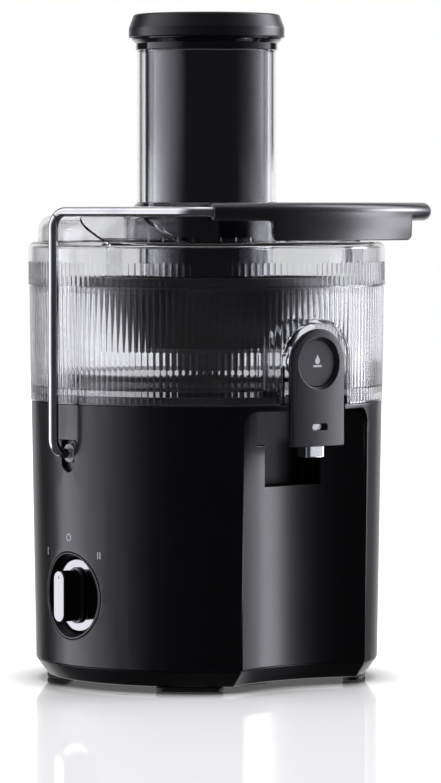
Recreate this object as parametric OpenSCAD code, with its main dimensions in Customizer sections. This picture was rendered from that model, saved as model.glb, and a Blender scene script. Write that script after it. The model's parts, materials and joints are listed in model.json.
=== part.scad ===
// Centrifugal juicer: a motor base with a jug bay, a clear bowl and lid, a tall
// feed tube with its pusher, a wire locking bail, a speed dial and a drip-stop
// spout. Millimetres. +Z is up, -Y is the front (spout), -X is the dial side.
// The origin is on the rotor axis, on the surface that the juicer stands on.

/* [Base] */
// Radius of the motor housing at its top rim
body_r = 100.8; // [98:0.1:125]
// How much narrower the housing is at the bottom seam
body_taper = 2.5; // [0:0.1:6]
// Height of the feet under the base plate
foot_h = 3; // [2:0.5:6]
// Height of the seam between base plate and housing
seam_z = 12.3; // [10:0.1:16]
// Inward slope of the base plate's edge
plate_slope = 6.8; // [2:0.1:9]
// Height of the housing's top rim
deck_z = 160; // [155:1:195]
// Thickness of the housing's side wall
wall = 2.8; // [2:0.1:4]
// Thickness of the housing's top deck
deck_t = 3; // [2:0.1:5]

/* [Jug bay] */
// Radius of the curved back wall of the bay
bay_r = 90.5; // [70:0.5:110]
// Depth of the bay behind the housing's front
bay_depth = 25.4; // [20:0.1:32]
// Half width of the bay's mouth
bay_half = 44.8; // [38:0.1:48]
// Rounding of the bay's upper corners
bay_corner_r = 8; // [3:1:14]
// Depth of the pocket that takes the back of the spout
pocket_depth = 38.8; // [34:0.1:40]
// Half width of that pocket
pocket_half = 28; // [24:1:38]
// Height of that pocket
pocket_h = 19.7; // [14:0.1:24]
// Half width of the notch under the pocket
notch_half = 20; // [12:1:24]
// Height of the notch
notch_h = 23.4; // [10:0.1:30]

/* [Bowl] */
// Height of the bowl from the deck to the lid
bowl_h = 66; // [60:1:90]
// Thickness of the clear walls
clear_wall = 2.4; // [1.6:0.1:3]
// Height of the bowl's floor above the deck
bowl_foot = 5; // [4:0.5:8]
// Depth of the arched spout tunnel behind the bowl's front
tunnel_depth = 16.3; // [14:0.1:22]
// Half width of the arched spout tunnel
tunnel_half = 24.8; // [22:0.1:30]

/* [Lid and feed tube] */
// Height of the lid from the bowl to its top
lid_h = 25; // [20:1:34]
// Rounding of the lid's top edge
lid_round = 4; // [3:0.5:10]
// Height of the pulp hood above the lid
hood_h = 15; // [8:1:16]
// How far the hood's front slopes run forward
hood_slope = 27.6; // [10:0.1:40]
// Bore radius of the feed tube
tube_bore_r = 37.5; // [30:0.5:39]
// Wall of the feed tube
tube_wall = 2.5; // [2:0.1:3.5]
// Height of the feed tube above the lid
tube_h = 109; // [80:0.1:150]

/* [Pusher] */
// Gap between pusher and feed tube
pusher_gap = 2.1; // [0.5:0.1:3]
// Height of the pusher's collar on top of the feed tube
pusher_collar_h = 7.6; // [4:0.1:12]
// Radius of the pusher's cap
cap_r = 44.7; // [42:0.1:50]
// Height of the pusher's cap
cap_h = 13.4; // [8:0.1:20]

/* [Bail] */
// Radius of the bail's steel wire
wire_r = 2.8; // [2:0.1:3.4]
// Distance of the arms outside the housing
arm_gap = 9.2; // [7:0.1:14]
// Depth of the pivot below the deck
pivot_drop = 27.7; // [22:0.1:34]
// Height of the cross bar above the lid
bar_rise = 17; // [10:1:22]
// Half width of the cross bar between the centres of its end bends
bar_half = 67.9; // [50:0.1:75]
// Radius of the cross bar's forward bow
bow_r = 165; // [140:1:400]
// Radius of the handle's sleeve
sleeve_r = 5.1; // [4.4:0.1:7]
// Height of the handle's flag below the bar's centre
flag_drop = 16.1; // [8:0.1:17]

/* [Dial] */
// Height of the dial's centre
dial_z = 51.8; // [45:0.1:70]
// Radius of the dial's dish
dish_r = 24.5; // [22:0.5:30]
// Depth of the turning disc below the housing's surface
disc_sink = 5.9; // [4:0.1:7]
// Radius of the turning disc
disc_r = 20.25; // [16:0.25:22]
// Length of the grip's pill-shaped collar
grip_l = 31.8; // [24:0.1:36]
// Width of the grip's pill-shaped collar
grip_w = 14.2; // [8:0.1:16]
// Height of the grip above its collar
grip_h = 10.8; // [6:0.1:16]

/* [Spout] */
// Half width of the spout cover
cover_half = 19.3; // [17:0.1:21]
// Height of the outlet's centre above the deck
outlet_rise = 23.3; // [22:0.1:30]
// Length of the cover below the deck
cover_drop = 23.2; // [16:0.1:30]
// Radius of the drip-stop button
button_r = 13.25; // [10:0.25:14]
// Travel of the button
button_travel = 2.5; // [1:0.1:2.6]
// Width of the nozzle
nozzle_w = 13.4; // [10:0.1:16]
// Depth of the nozzle from front to back
nozzle_d = 11; // [9:0.1:12]

/* [Motor and sieve] */
// Radius of the motor shaft
shaft_r = 4; // [3:0.5:5]
// Outer radius of the stator
stator_r = 42; // [36:1:46]
// Height of the stator stack
stator_h = 36; // [24:1:40]
// Height of the sieve
sieve_h = 41; // [36:1:60]

/* [Hidden] */
$fn = 96;

black = "#17181a";
dark_grey = "#2b2c2f";
clear = [0.86, 0.88, 0.90, 0.35];
steel = "#b9bcc0";
copper = "#b06a3a";
white_plastic = "#e4e5e6";

// Clearances: faces that only rest, parts that slide, and shafts that run.
seat_gap = 0.3;
slide_gap = 0.08;
run_gap = 0.05;
eps = 0.01;

// Heights that follow from the base upwards.
plate_floor_t = 2.5;
bay_top_z = deck_z - deck_t;
pocket_z = bay_top_z - pocket_h;
notch_z = pocket_z - notch_h;
bowl_floor_z = deck_z + bowl_foot;
bowl_floor_t = 3;
chamber_z = bowl_floor_z + bowl_floor_t;
bowl_top_z = deck_z + bowl_h;
lid_top_z = bowl_top_z + lid_h;
tube_top_z = lid_top_z + tube_h;
cap_z = tube_top_z + pusher_collar_h;
pusher_skin = 2.2;
outlet_z = deck_z + outlet_rise;

// Radii that follow from the housing.
base_r = body_r - body_taper;
bowl_r = body_r + 0.4;
bowl_top_r = body_r + 1.2;
lid_r = body_r + 1.7;
bay_centre = body_r - bay_depth + bay_r;
collector_r = body_r - 18.3;
rim_r = collector_r - 7.5;

// Turret around the shaft, and the chimney that keeps juice off it.
turret_r = 26;
turret_z = chamber_z + 3;
turret_wall = 3;
seal_r = 8.4;
seal_h = 3.8;
chimney_r = 14.5;
chimney_wall = 2.5;
collector_floor_z = chamber_z + 4.4;
collector_floor_t = 2.5;
chimney_z = collector_floor_z + 12.6;
collector_lip_t = 1.6;
collector_lip_w = 4;

// Sieve and grater.
sieve_base_z = chimney_z + 2.5;
sieve_base_t = 2.5;
tube_r = tube_bore_r + tube_wall;
sieve_base_r = tube_r + 6;
skirt_r = 27;
skirt_t = 2;
rim_z = sieve_base_z + sieve_h - 3;
rim_h = 5;
rim_w = 5.5;
mesh_t = 0.6;
grater_r = sieve_base_r - 3;
grater_z = sieve_base_z + sieve_base_t;
grater_t = 0.8;
tooth_h = 1.2;
tube_foot_z = grater_z + 4.5;
collector_top_z = rim_z - 2.4;

// Base screws and their bosses.
screw_r = 1.7;
boss_r = 4.5;
boss_h = 14;
screw_places = [
    for (side = [-1, 1], place = [[base_r - 18, -25], [30, base_r - 18]])
        [side * place[0], place[1]]
];

// Cord gland in the back wall.
gland_z = 34;
gland_r = 7;

// Running gear.
coupling_r = 7.5;
coupling_z = turret_z + 1.4;
coupling_h = 13.5;
shaft_top_z = coupling_z + 6;
hub_r = 11.5;
bracket_z = bay_top_z - 30;
bracket_t = 3;
mount_h = 4;
post_r = 4;
post_ring_r = 50;
bearing_r = 11;
bearing_h = 7;
small_shaft_r = shaft_r - 1;
small_bearing_r = 9.5;
small_bearing_h = 6;
winding_h = 6;
winding_r = 36;
air_gap = 0.8;
armature_r = 24;
stator_top_z = bracket_z - 27;
stator_z = stator_top_z - stator_h;
lower_plate_z = stator_z - 20;
commutator_r = 11;
commutator_z = lower_plate_z + bracket_t + 2.5;
commutator_h = 9;
strut_x = 38.5;
strut_r = 2.6;
fan_r = 44;
fan_h = 12;
fan_z = lower_plate_z - small_bearing_h - fan_h - 3;
brush_w = 8;
brush_h = 6;
brush_out_r = 28;

// Bail.
arm_x = body_r + arm_gap;
pivot_z = deck_z - pivot_drop;
bar_z = lid_top_z + bar_rise;
bend_back = 20.8;
bend_y = -(body_r - bend_back);
bar_bend_r = 20;
top_bend_r = 9;
low_bend_r = 8;
bend_span = [arm_x - bar_half, -bend_y];
arm_splay = atan2(bend_span[0], bend_span[1]) - asin(bar_bend_r / norm(bend_span));
bar_turn = 90 - arm_splay;
bow_turn = asin(bar_half / (bow_r - bar_bend_r));
bow_y = bend_y + (bow_r - bar_bend_r) * cos(bow_turn);
near_turn_short = 0.9;
near_turn = bow_turn - near_turn_short;
pin_l = 11;
lap = 0.2;
lap_step = 0.1;
lap_turn = lap / bow_r * 180 / PI;
wire_gap = 0.03;
flag_start = -45.3;
flag_end_inset = 8.2;
flag_end = bar_half - flag_end_inset;
flag_t = 3;
flag_corner = 3.5;
flag_fillet = 5;
flag_set = 0.3;
ring_r = 5.5;
ring_t = 1.9;
ring_out = 1.5;
slot_half = 5.5;
slot_up = 7;
slot_down = 10.4;
groove_depth = 1.8;
groove_floor_half = 6;
groove_mouth_half = 11.6;

// Dial, with its axis along X at y = 0.
dial_surface = base_r + body_taper * (dial_z - seam_z) / (deck_z - seam_z);
disc_t = 2;
disc_front = dial_surface - disc_sink;
disc_back = disc_front - disc_t;
dish_floor = disc_back - 0.4;
dish_floor_t = 2;
collar_h = 1.9;
grip_inset = 3;
face_t = 0.8;
face_inset = 0.15;
spindle_stub = 4;
spindle_r = 3;
switch_depth = 22;
switch_half = 13;

// Spout.
cover_r = body_r + 0.8;
cover_t = 2.5;
cover_side_t = 2;
cover_edge = 3.3;
cover_depth = 8;
button_sink = 3.2;
button_t = 2;
dimple_gap = 1.1;
guide_t = 1.2;
stem_r = 2.5;
chamber_wall = 1.6;
chamber_half = 9.5;
chamber_front = cover_r - button_sink - button_t - button_travel - 0.5;
spigot_r = 8.5;
spigot_wall = 1.5;
spigot_in = collector_r - 2;
valve_r = 6.2;
valve_t = 2;
valve_seat_t = 1;
nozzle_set_back = 3.1;
nozzle_bottom_z = deck_z - 29.3;
nozzle_wall = 1.5;
chamber_low_z = deck_z - 1;

// Housing radius at a height.
function wall_r(z) = base_r + body_taper * (z - seam_z) / (deck_z - seam_z);

// A ring around the axis, from one height to another.
module ring(inner, outer, low, high) {
    translate([0, 0, low])
        difference() {
            cylinder(r = outer, h = high - low);
            translate([0, 0, -1])
                cylinder(r = inner, h = high - low + 2);
        }
}

// A half profile from the axis outwards with a rounded top outer corner.
module rounded_profile(inner, outer, low, high, round_r) {
    translate([inner, low])
        square([outer - inner, high - round_r - low]);
    translate([inner, low])
        square([outer - round_r - inner, high - low]);
    translate([outer - round_r, high - round_r])
        circle(round_r);
}

// A pill shape: a bar with round ends, long along Y of the drawing.
module pill(length, width) {
    square([width, length - width], center = true);
    for (end = [-1, 1])
        translate([0, end * (length - width) / 2])
            circle(width / 2);
}

// Turns a shape drawn around Z so that its axis points along -X at the dial.
module on_dial(out) {
    translate([-out, 0, dial_z])
        rotate([0, -90, 0])
            children();
}

// Turns a shape drawn around Z so that its axis points along -Y at the outlet.
module on_outlet(out) {
    translate([0, -out, outlet_z])
        rotate([90, 0, 0])
            children();
}

// Both sides of the juicer.
module both_sides() {
    children();
    mirror([1, 0, 0])
        children();
}

// The housing's tapered outer shape, set in from the surface.
module housing_solid(low, high, inset) {
    rotate_extrude()
        polygon([
            [0, low], [wall_r(low) - inset, low],
            [wall_r(high) - inset, high], [0, high]
        ]);
}

// Front view of the bay: straight sides and rounded upper corners.
module bay_outline(grow) {
    half = bay_half + grow;
    top = bay_top_z + grow;
    round_r = bay_corner_r + grow;
    rotate([90, 0, 0])
        linear_extrude(body_r + 20) {
            translate([-half, -1])
                square([2 * half, top - round_r + 1]);
            translate([-(half - round_r), -1])
                square([2 * (half - round_r), top + 1]);
            for (side = [-1, 1])
                translate([side * (half - round_r), top - round_r])
                    circle(round_r);
        }
}

// A box that is open to the front, from a height up to the bay's top.
module front_box(half, low, high, depth) {
    translate([-half, -body_r - 10, low])
        cube([2 * half, 10 + depth, high - low]);
}

// The room for the jug and spout, grown for the wall around it.
module bay_cut(grow) {
    intersection() {
        translate([0, -bay_centre, -1])
            cylinder(r = bay_r + grow, h = bay_top_z + grow + 1);
        bay_outline(grow);
    }
    front_box(pocket_half + grow, pocket_z - grow, bay_top_z + grow, pocket_depth + grow);
    front_box(notch_half + grow, notch_z - grow, pocket_z, pocket_depth + grow);
}

// Places for the four base screws.
module at_screws() {
    for (place = screw_places)
        translate([place[0], place[1], 0])
            children();
}

// Webs that run outwards from the screw bosses.
module at_webs(half, low, height) {
    for (place = screw_places)
        rotate([0, 0, atan2(place[1], place[0])])
            translate([norm(place), -half, low])
                cube([20, 2 * half, height]);
}

// Places for the four feet, turned so that they follow the edge.
module at_feet() {
    for (turn = [45, 135, 225, 315])
        rotate([0, 0, turn])
            translate([base_r - 13, 0, 0])
                children();
}

// Places for the three posts that carry the motor.
module at_posts() {
    for (turn = [30, 150, 270])
        rotate([0, 0, turn])
            translate([post_ring_r, 0, 0])
                children();
}

// Slot and shallow groove for one end of the bail, on the -X side.
module bail_slot_cut() {
    translate([-body_r - 5, -slot_half, pivot_z - slot_down + slot_half])
        cube([10 + wall, 2 * slot_half, slot_down + slot_up - slot_half]);
    translate([-body_r - 5, 0, pivot_z - slot_down + slot_half])
        rotate([0, 90, 0])
            cylinder(r = slot_half, h = 10 + wall);
    translate([0, 0, pivot_z + slot_up])
        linear_extrude(pivot_drop)
            polygon([
                [-body_r - 2, -groove_mouth_half - 4], [-body_r - 2, groove_mouth_half + 4],
                [-body_r + groove_depth, groove_floor_half],
                [-body_r + groove_depth, -groove_floor_half]
            ]);
}

// Screw bosses with webs to the wall, and the posts that the motor hangs from.
module housing_bosses() {
    intersection() {
        at_screws()
            translate([0, 0, seam_z])
                cylinder(r = boss_r, h = boss_h);
        housing_solid(seam_z, deck_z, wall / 2);
    }
    intersection() {
        at_webs(1.2, seam_z, boss_h);
        housing_solid(seam_z, deck_z, wall / 2);
    }
    at_posts()
        translate([0, 0, bracket_z + bracket_t + mount_h])
            cylinder(r = post_r, h = bay_top_z - bracket_z - bracket_t - mount_h + 1);
    at_posts()
        translate([0, 0, bracket_z + bracket_t])
            cylinder(r = post_r - 2, h = mount_h + 1);
}

// Motor housing: one moulded shell with the bay, the deck and the turret.
module motor_housing() {
    color(black)
        difference() {
            union() {
                difference() {
                    housing_solid(seam_z, deck_z, 0);
                    difference() {
                        housing_solid(seam_z - 1, bay_top_z, wall);
                        bay_cut(wall);
                    }
                }
                ring(turret_r - turret_wall, turret_r, bay_top_z, turret_z);
                ring(seal_r, turret_r, turret_z - turret_wall, turret_z);
                housing_bosses();
            }
            bay_cut(0);
            translate([0, 0, bay_top_z - 1])
                cylinder(r = turret_r - turret_wall, h = turret_z - turret_wall - bay_top_z + 1);
            front_box(cover_half + 1, bay_top_z - 1, deck_z + 1, body_r - chamber_front + 22);
            both_sides()
                bail_slot_cut();
            on_dial(dial_surface - 12)
                cylinder(r = dish_r + 0.15, h = 20);
            translate([0, base_r + 5, gland_z])
                rotate([90, 0, 0])
                    cylinder(r = gland_r + 0.1, h = 20);
            at_screws()
                translate([0, 0, seam_z - 1])
                    cylinder(r = screw_r, h = 12);
        }
}

// Base plate: a tray with a sloping edge, vents, screw posts and a locating lip.
module base_plate() {
    lip_h = 3.5;
    color(dark_grey)
        difference() {
            union() {
                difference() {
                    plate_solid(foot_h, 0);
                    plate_solid(foot_h + plate_floor_t, wall);
                }
                at_screws()
                    translate([0, 0, foot_h])
                        cylinder(r = boss_r, h = seam_z - foot_h);
                difference() {
                    ring(base_r - wall - 2.4, base_r - wall - seat_gap, seam_z - 3, seam_z + lip_h);
                    bay_cut(wall + seat_gap);
                    at_webs(1.2 + seat_gap, seam_z, lip_h + 1);
                    at_screws()
                        translate([0, 0, seam_z])
                            cylinder(r = boss_r + seat_gap, h = lip_h + 1);
                }
            }
            at_screws() {
                translate([0, 0, foot_h - 1])
                    cylinder(r = screw_r + 0.2, h = seam_z);
                translate([0, 0, foot_h - 1])
                    cylinder(r = 3.5, h = 3.2);
            }
            at_feet()
                translate([0, 0, foot_h - 1])
                    cylinder(r = 4.1, h = 6);
            for (row = [-3:3])
                translate([-22, row * 9 - 1.5, foot_h - 1])
                    cube([44, 3, plate_floor_t + 2]);
        }
}

// The base plate's outer shape from a height up to the seam, set in from the surface.
module plate_solid(low, inset) {
    slope = plate_slope / (seam_z - foot_h);
    low_r = base_r - slope * (seam_z - low) - inset;
    bay_low_r = bay_r + slope * (seam_z - low) + inset;
    overshoot = inset > 0 ? 1 : 0;
    difference() {
        translate([0, 0, low])
            cylinder(r1 = low_r, r2 = base_r - inset, h = seam_z - low);
        translate([0, -bay_centre, low - 1])
            cylinder(r1 = bay_low_r + slope, r2 = bay_r + inset, h = seam_z - low + 1 + eps);
    }
    if (overshoot > 0)
        difference() {
            translate([0, 0, seam_z - eps])
                cylinder(r = base_r - inset, h = overshoot);
            translate([0, -bay_centre, seam_z - 1])
                cylinder(r = bay_r + inset, h = 3);
        }
}

// Feet: four rubber pads with plugs pushed into the base plate.
module feet() {
    pad_l = 38;
    pad_w = 11;
    color("#1f1f21")
        at_feet() {
            linear_extrude(foot_h)
                pill(pad_l, pad_w);
            cylinder(r = 4, h = foot_h + plate_floor_t + 1);
        }
}

// Base screws, driven up through the base plate into the housing's bosses.
module base_screws() {
    color(steel)
        at_screws() {
            translate([0, 0, foot_h + 0.4])
                cylinder(r = 3.2, h = 1.8);
            translate([0, 0, foot_h + 1])
                cylinder(r = screw_r - 0.05, h = 17);
        }
}

// Cord gland: a flanged bush in the back wall where the mains cord goes in.
module cord_gland() {
    bore_r = 3.6;
    gland_out = wall_r(gland_z);
    color(black)
        translate([0, gland_out, gland_z])
            rotate([90, 0, 0])
                difference() {
                    union() {
                        translate([0, 0, -3.2])
                            cylinder(r = gland_r + 2.6, h = 2.8);
                        translate([0, 0, -3.2])
                            cylinder(r = gland_r, h = 14);
                    }
                    translate([0, 0, -5])
                        cylinder(r = bore_r, h = 20);
                }
}

// Upper motor bracket: a three-armed plate with the upper bearing's cup and two struts.
module upper_bracket() {
    color(steel)
        difference() {
            union() {
                translate([0, 0, bracket_z])
                    cylinder(r = 24, h = bracket_t);
                translate([0, 0, bracket_z - bearing_h])
                    cylinder(r = bearing_r + 2.5, h = bearing_h + 1);
                for (turn = [30, 150, 270])
                    rotate([0, 0, turn])
                        translate([0, -5, bracket_z])
                            cube([post_ring_r, 10, bracket_t]);
                at_posts()
                    translate([0, 0, bracket_z])
                        cylinder(r = 7, h = bracket_t);
                translate([-strut_x, -5, bracket_z])
                    cube([2 * strut_x, 10, bracket_t]);
                for (side = [-1, 1])
                    translate([side * strut_x, 0, stator_top_z])
                        cylinder(r = strut_r + 1.6, h = bracket_z - stator_top_z + bracket_t);
            }
            translate([0, 0, bracket_z - bearing_h - 1])
                cylinder(r = bearing_r, h = bearing_h + 1);
            translate([0, 0, bracket_z - 1])
                cylinder(r = bearing_r - 3, h = bracket_t + 2);
            at_posts()
                translate([0, 0, bracket_z - 1])
                    cylinder(r = post_r - 1.9, h = bracket_t + 2);
        }
}

// Motor mounts: rubber rings between the bracket's arms and the housing's posts.
module motor_mounts() {
    color("#26262a")
        at_posts()
            ring(post_r - 1.9, 6.5, bracket_z + bracket_t, bracket_z + bracket_t + mount_h);
}

// Upper bearing.
module upper_bearing() {
    color(steel)
        ring(shaft_r + run_gap, bearing_r, bracket_z - bearing_h, bracket_z);
}

// Stator core: a laminated ring with two flats, drilled for the struts.
module stator_core() {
    color("#6c6f74")
        difference() {
            intersection() {
                ring(armature_r + air_gap, stator_r, stator_z, stator_top_z);
                translate([0, 0, stator_z + stator_h / 2])
                    cube([2 * stator_r + 2, 2 * stator_r - 10, stator_h + 2], center = true);
            }
            for (side = [-1, 1])
                translate([side * strut_x, 0, stator_z - 1])
                    cylinder(r = strut_r, h = stator_h + 2);
        }
}

// Field windings: the coil ends above and below the core.
module field_windings() {
    color(copper) {
        ring(armature_r + 2.5, winding_r - 2, stator_top_z, stator_top_z + winding_h);
        ring(armature_r + 2.5, winding_r - 2, stator_z - winding_h, stator_z);
    }
}

// Brush holders: two boxes on the lower bracket that reach in to the commutator.
module brush_holders() {
    color("#8a6a2d")
        for (turn = [90, 270])
            rotate([0, 0, turn]) {
                translate([commutator_r + 0.3, -brush_w / 2, commutator_z + 2])
                    cube([brush_out_r - commutator_r, brush_w, brush_h]);
                translate([commutator_r + 6, -brush_w / 2, lower_plate_z + bracket_t])
                    cube([8, brush_w, commutator_z + 3 - lower_plate_z - bracket_t]);
            }
}

// Lower motor bracket: a bar with the lower bearing's cup and two rods up through the core.
module lower_bracket() {
    color(steel)
        difference() {
            union() {
                translate([0, 0, lower_plate_z])
                    cylinder(r = 30, h = bracket_t);
                translate([-strut_x, -6, lower_plate_z])
                    cube([2 * strut_x, 12, bracket_t]);
                translate([0, 0, lower_plate_z - small_bearing_h])
                    cylinder(r = small_bearing_r + 2.5, h = small_bearing_h + 1);
                for (side = [-1, 1])
                    translate([side * strut_x, 0, lower_plate_z]) {
                        cylinder(r = strut_r + 1.6, h = stator_z - lower_plate_z);
                        cylinder(r = strut_r - 0.1, h = stator_top_z - lower_plate_z);
                    }
            }
            translate([0, 0, lower_plate_z - small_bearing_h - 1])
                cylinder(r = small_bearing_r, h = small_bearing_h + 1);
            translate([0, 0, lower_plate_z - 1])
                cylinder(r = small_bearing_r - 3, h = bracket_t + 2);
        }
}

// Lower bearing.
module lower_bearing() {
    color(steel)
        ring(
            small_shaft_r + run_gap, small_bearing_r,
            lower_plate_z - small_bearing_h, lower_plate_z
        );
}

// Shaft seal in the top of the turret.
module shaft_seal() {
    color("#3a2f2c")
        ring(shaft_r + run_gap, seal_r, turret_z - seal_h + 1, turret_z + 1);
}

// Pivot blocks: guides behind the slots that hold the ends of the bail.
module pivot_blocks() {
    block_w = 18;
    block_h = 26;
    block_t = 7;
    inner_x = body_r - wall - 0.9;
    color(dark_grey)
        both_sides()
            difference() {
                translate([-inner_x, -block_w / 2, pivot_z - block_h / 2])
                    cube([block_t, block_w, block_h]);
                translate([-inner_x - 1, 0, pivot_z])
                    rotate([0, 90, 0])
                        cylinder(r = wire_r + run_gap, h = block_t + 2);
                difference() {
                    translate([-inner_x - 1, -block_w, pivot_z - block_h])
                        cube([block_t, 2 * block_w, 2 * block_h]);
                    housing_solid(seam_z, deck_z, wall + 0.2);
                }
            }
}

// Safety switch on the inside of the dial-side pivot block, pressed by the bail's end.
module safety_switch() {
    case_x = body_r - wall - 8.2;
    color("#7d2020")
        translate([-case_x, -8, pivot_z - 9])
            cube([6, 16, 18]);
}

// Rotary switch behind the dial's dish.
module rotary_switch() {
    color("#3d3f44")
        on_dial(dish_floor - dish_floor_t - switch_depth)
            difference() {
                translate([-switch_half, -switch_half, 0])
                    cube([2 * switch_half, 2 * switch_half, switch_depth]);
                translate([0, 0, 4])
                    cylinder(r = spindle_r + run_gap, h = switch_depth);
            }
}

// Dial bezel: a dish let into the housing, flush with its curved surface.
module dial_bezel() {
    rim_t = 1;
    depth = dial_surface - dish_floor;
    flare = (dish_r - rim_t - disc_r - 0.4) / depth;
    overshoot = 4;
    color(black)
        difference() {
            intersection() {
                on_dial(dish_floor - dish_floor_t)
                    cylinder(r = dish_r, h = 20);
                housing_solid(seam_z, deck_z, 0);
            }
            on_dial(dish_floor)
                cylinder(
                    r1 = disc_r + 0.4, r2 = dish_r - rim_t + flare * overshoot,
                    h = depth + overshoot
                );
            on_dial(dish_floor - dish_floor_t - 1)
                cylinder(r = spindle_r + 1, h = 5);
        }
}

// An arch standing on the floor: straight legs and a round top, extruded front to back.
module arch(half, low, near, far) {
    translate([0, -far, 0])
        rotate([90, 0, 0])
            linear_extrude(near - far) {
                translate([-half, low])
                    square([2 * half, outlet_z - low]);
                translate([0, outlet_z])
                    circle(half);
            }
}

// Clear bowl: outer wall, pulp floor, locating ring and the arched spout tunnel.
module bowl() {
    ring_in = collector_r + 0.5;
    ring_out_r = collector_r + 2.5;
    locate_h = 8;
    tunnel_in = body_r - tunnel_depth;
    color(clear)
        difference() {
            union() {
                difference() {
                    bowl_shell(ring_in, ring_out_r, locate_h);
                    arch(tunnel_half, deck_z - 1, bowl_r + 10, tunnel_in - 2);
                }
                intersection() {
                    difference() {
                        arch(tunnel_half, deck_z, bowl_r + 10, tunnel_in - 10);
                        arch(tunnel_half - 2, deck_z - 1, bowl_r + 11, tunnel_in - 11);
                    }
                    ring(ring_in, bowl_r - 0.6, deck_z, bowl_top_z);
                }
                intersection() {
                    arch(tunnel_half, deck_z, bowl_r + 10, tunnel_in - 20);
                    ring(ring_in, ring_out_r, bowl_floor_z, bowl_top_z);
                }
            }
            on_outlet(ring_in - 12)
                cylinder(r = spigot_r + 0.3, h = 24);
        }
}

// The bowl as turned: tapered wall, floor, foot and locating ring.
module bowl_shell(ring_in, ring_out_r, locate_h) {
    rotate_extrude()
        difference() {
            polygon([
                [0, deck_z], [bowl_r, deck_z], [bowl_top_r, bowl_top_z], [0, bowl_top_z]
            ]);
            polygon([
                [0, deck_z - 1], [bowl_r - clear_wall, deck_z - 1],
                [bowl_r - clear_wall, bowl_floor_z], [0, bowl_floor_z]
            ]);
            translate([0, deck_z])
                square([turret_r + 1.5, bowl_h + 1]);
            polygon([
                [0, chamber_z], [bowl_r - clear_wall, chamber_z],
                [bowl_top_r - clear_wall, bowl_top_z + eps], [0, bowl_top_z + eps]
            ]);
        }
    ring(ring_in, ring_out_r, bowl_floor_z + 1, chamber_z + locate_h);
}

// Juice collector: the inner clear cup with its chimney and outlet hole.
module juice_collector() {
    color(clear)
        difference() {
            union() {
                ring(collector_r - 2, collector_r, chamber_z, collector_top_z);
                ring(
                    collector_r - collector_lip_w, collector_r,
                    collector_top_z - collector_lip_t, collector_top_z
                );
                ring(
                    chimney_r, collector_r - 1,
                    collector_floor_z, collector_floor_z + collector_floor_t
                );
                ring(chimney_r, chimney_r + chimney_wall, collector_floor_z, chimney_z);
            }
            on_outlet(collector_r - 12)
                cylinder(r = spigot_r + 0.3, h = 24);
        }
}

// Bowl gasket between the turret and the bowl's floor.
module bowl_gasket() {
    color("#8d8f93")
        ring(turret_r + 0.1, turret_r + 1.4, bowl_floor_z, chamber_z + 1);
}

// Spout nozzle: a valve chamber that plugs into the collector, with a square outlet below.
module spout_nozzle() {
    inner_half = chamber_half - chamber_wall;
    spout_back = cover_r - nozzle_set_back - nozzle_d;
    chamber_back = collector_r + 2.8;
    chamber_top = outlet_z + chamber_half;
    color(white_plastic)
        difference() {
            union() {
                front_block(chamber_half, chamber_low_z, chamber_top, chamber_front, chamber_back);
                front_block(
                    nozzle_w / 2, nozzle_bottom_z, chamber_low_z + 6,
                    cover_r - nozzle_set_back, spout_back
                );
                on_outlet(spigot_in)
                    cylinder(r = spigot_r, h = chamber_back - spigot_in + 1);
            }
            front_block(
                inner_half, chamber_low_z + chamber_wall, chamber_top - chamber_wall,
                chamber_front - chamber_wall, chamber_back + chamber_wall
            );
            front_block(
                nozzle_w / 2 - nozzle_wall, nozzle_bottom_z - 1, chamber_low_z + 4.4,
                cover_r - nozzle_set_back - nozzle_wall, spout_back + nozzle_wall
            );
            on_outlet(spigot_in - 1)
                cylinder(r = spigot_r - spigot_wall, h = 1 + chamber_back - spigot_in - valve_seat_t);
            on_outlet(spigot_in)
                cylinder(r = valve_r - 0.8, h = chamber_back - spigot_in + chamber_wall + 1);
            on_outlet(chamber_front - chamber_wall - 1)
                cylinder(r = stem_r + slide_gap, h = chamber_wall + 2);
        }
}

// A block given by its half width, heights, and its front and back distances from the axis.
module front_block(half, low, high, front, back) {
    translate([-half, -front, low])
        cube([2 * half, front - back, high - low]);
}

// Spout cover: a curved arched shell with the button's guide and a small slot.
module spout_cover() {
    low_z = deck_z - cover_drop;
    slot_z = low_z + 10.9;
    slot_l = 10;
    slot_w = 3.6;
    guide_back = cover_r - cover_depth;
    color(dark_grey)
        difference() {
            union() {
                intersection() {
                    ring(cover_r - cover_t, cover_r, low_z, outlet_z + cover_half);
                    arch(cover_half, low_z, cover_r + 1, guide_back);
                }
                intersection() {
                    difference() {
                        arch(cover_half, low_z, cover_r + 1, guide_back);
                        arch(cover_half - cover_side_t, low_z - 1, cover_r + 2, guide_back - 1);
                    }
                    ring(cover_r - cover_edge, cover_r - 1, low_z, outlet_z + cover_half);
                }
                on_outlet(guide_back + 1)
                    cylinder(r = button_r + slide_gap + guide_t, h = cover_depth - cover_t);
                for (side = [-1, 1])
                    translate([side * (chamber_half - 2) - 1.5, -cover_r + 1.5, outlet_z - 17.5])
                        cube([3, cover_r - chamber_front - 1.5 - seat_gap, 8]);
            }
            on_outlet(guide_back - 1)
                cylinder(r = button_r + slide_gap, h = cover_depth + 2);
            on_outlet(cover_r - cover_t)
                cylinder(r = button_r + dimple_gap, h = cover_t + 2);
            translate([0, -cover_r + cover_t + 2, slot_z])
                rotate([90, 90, 0])
                    linear_extrude(cover_t + 4)
                        pill(slot_l, slot_w);
        }
}

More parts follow.
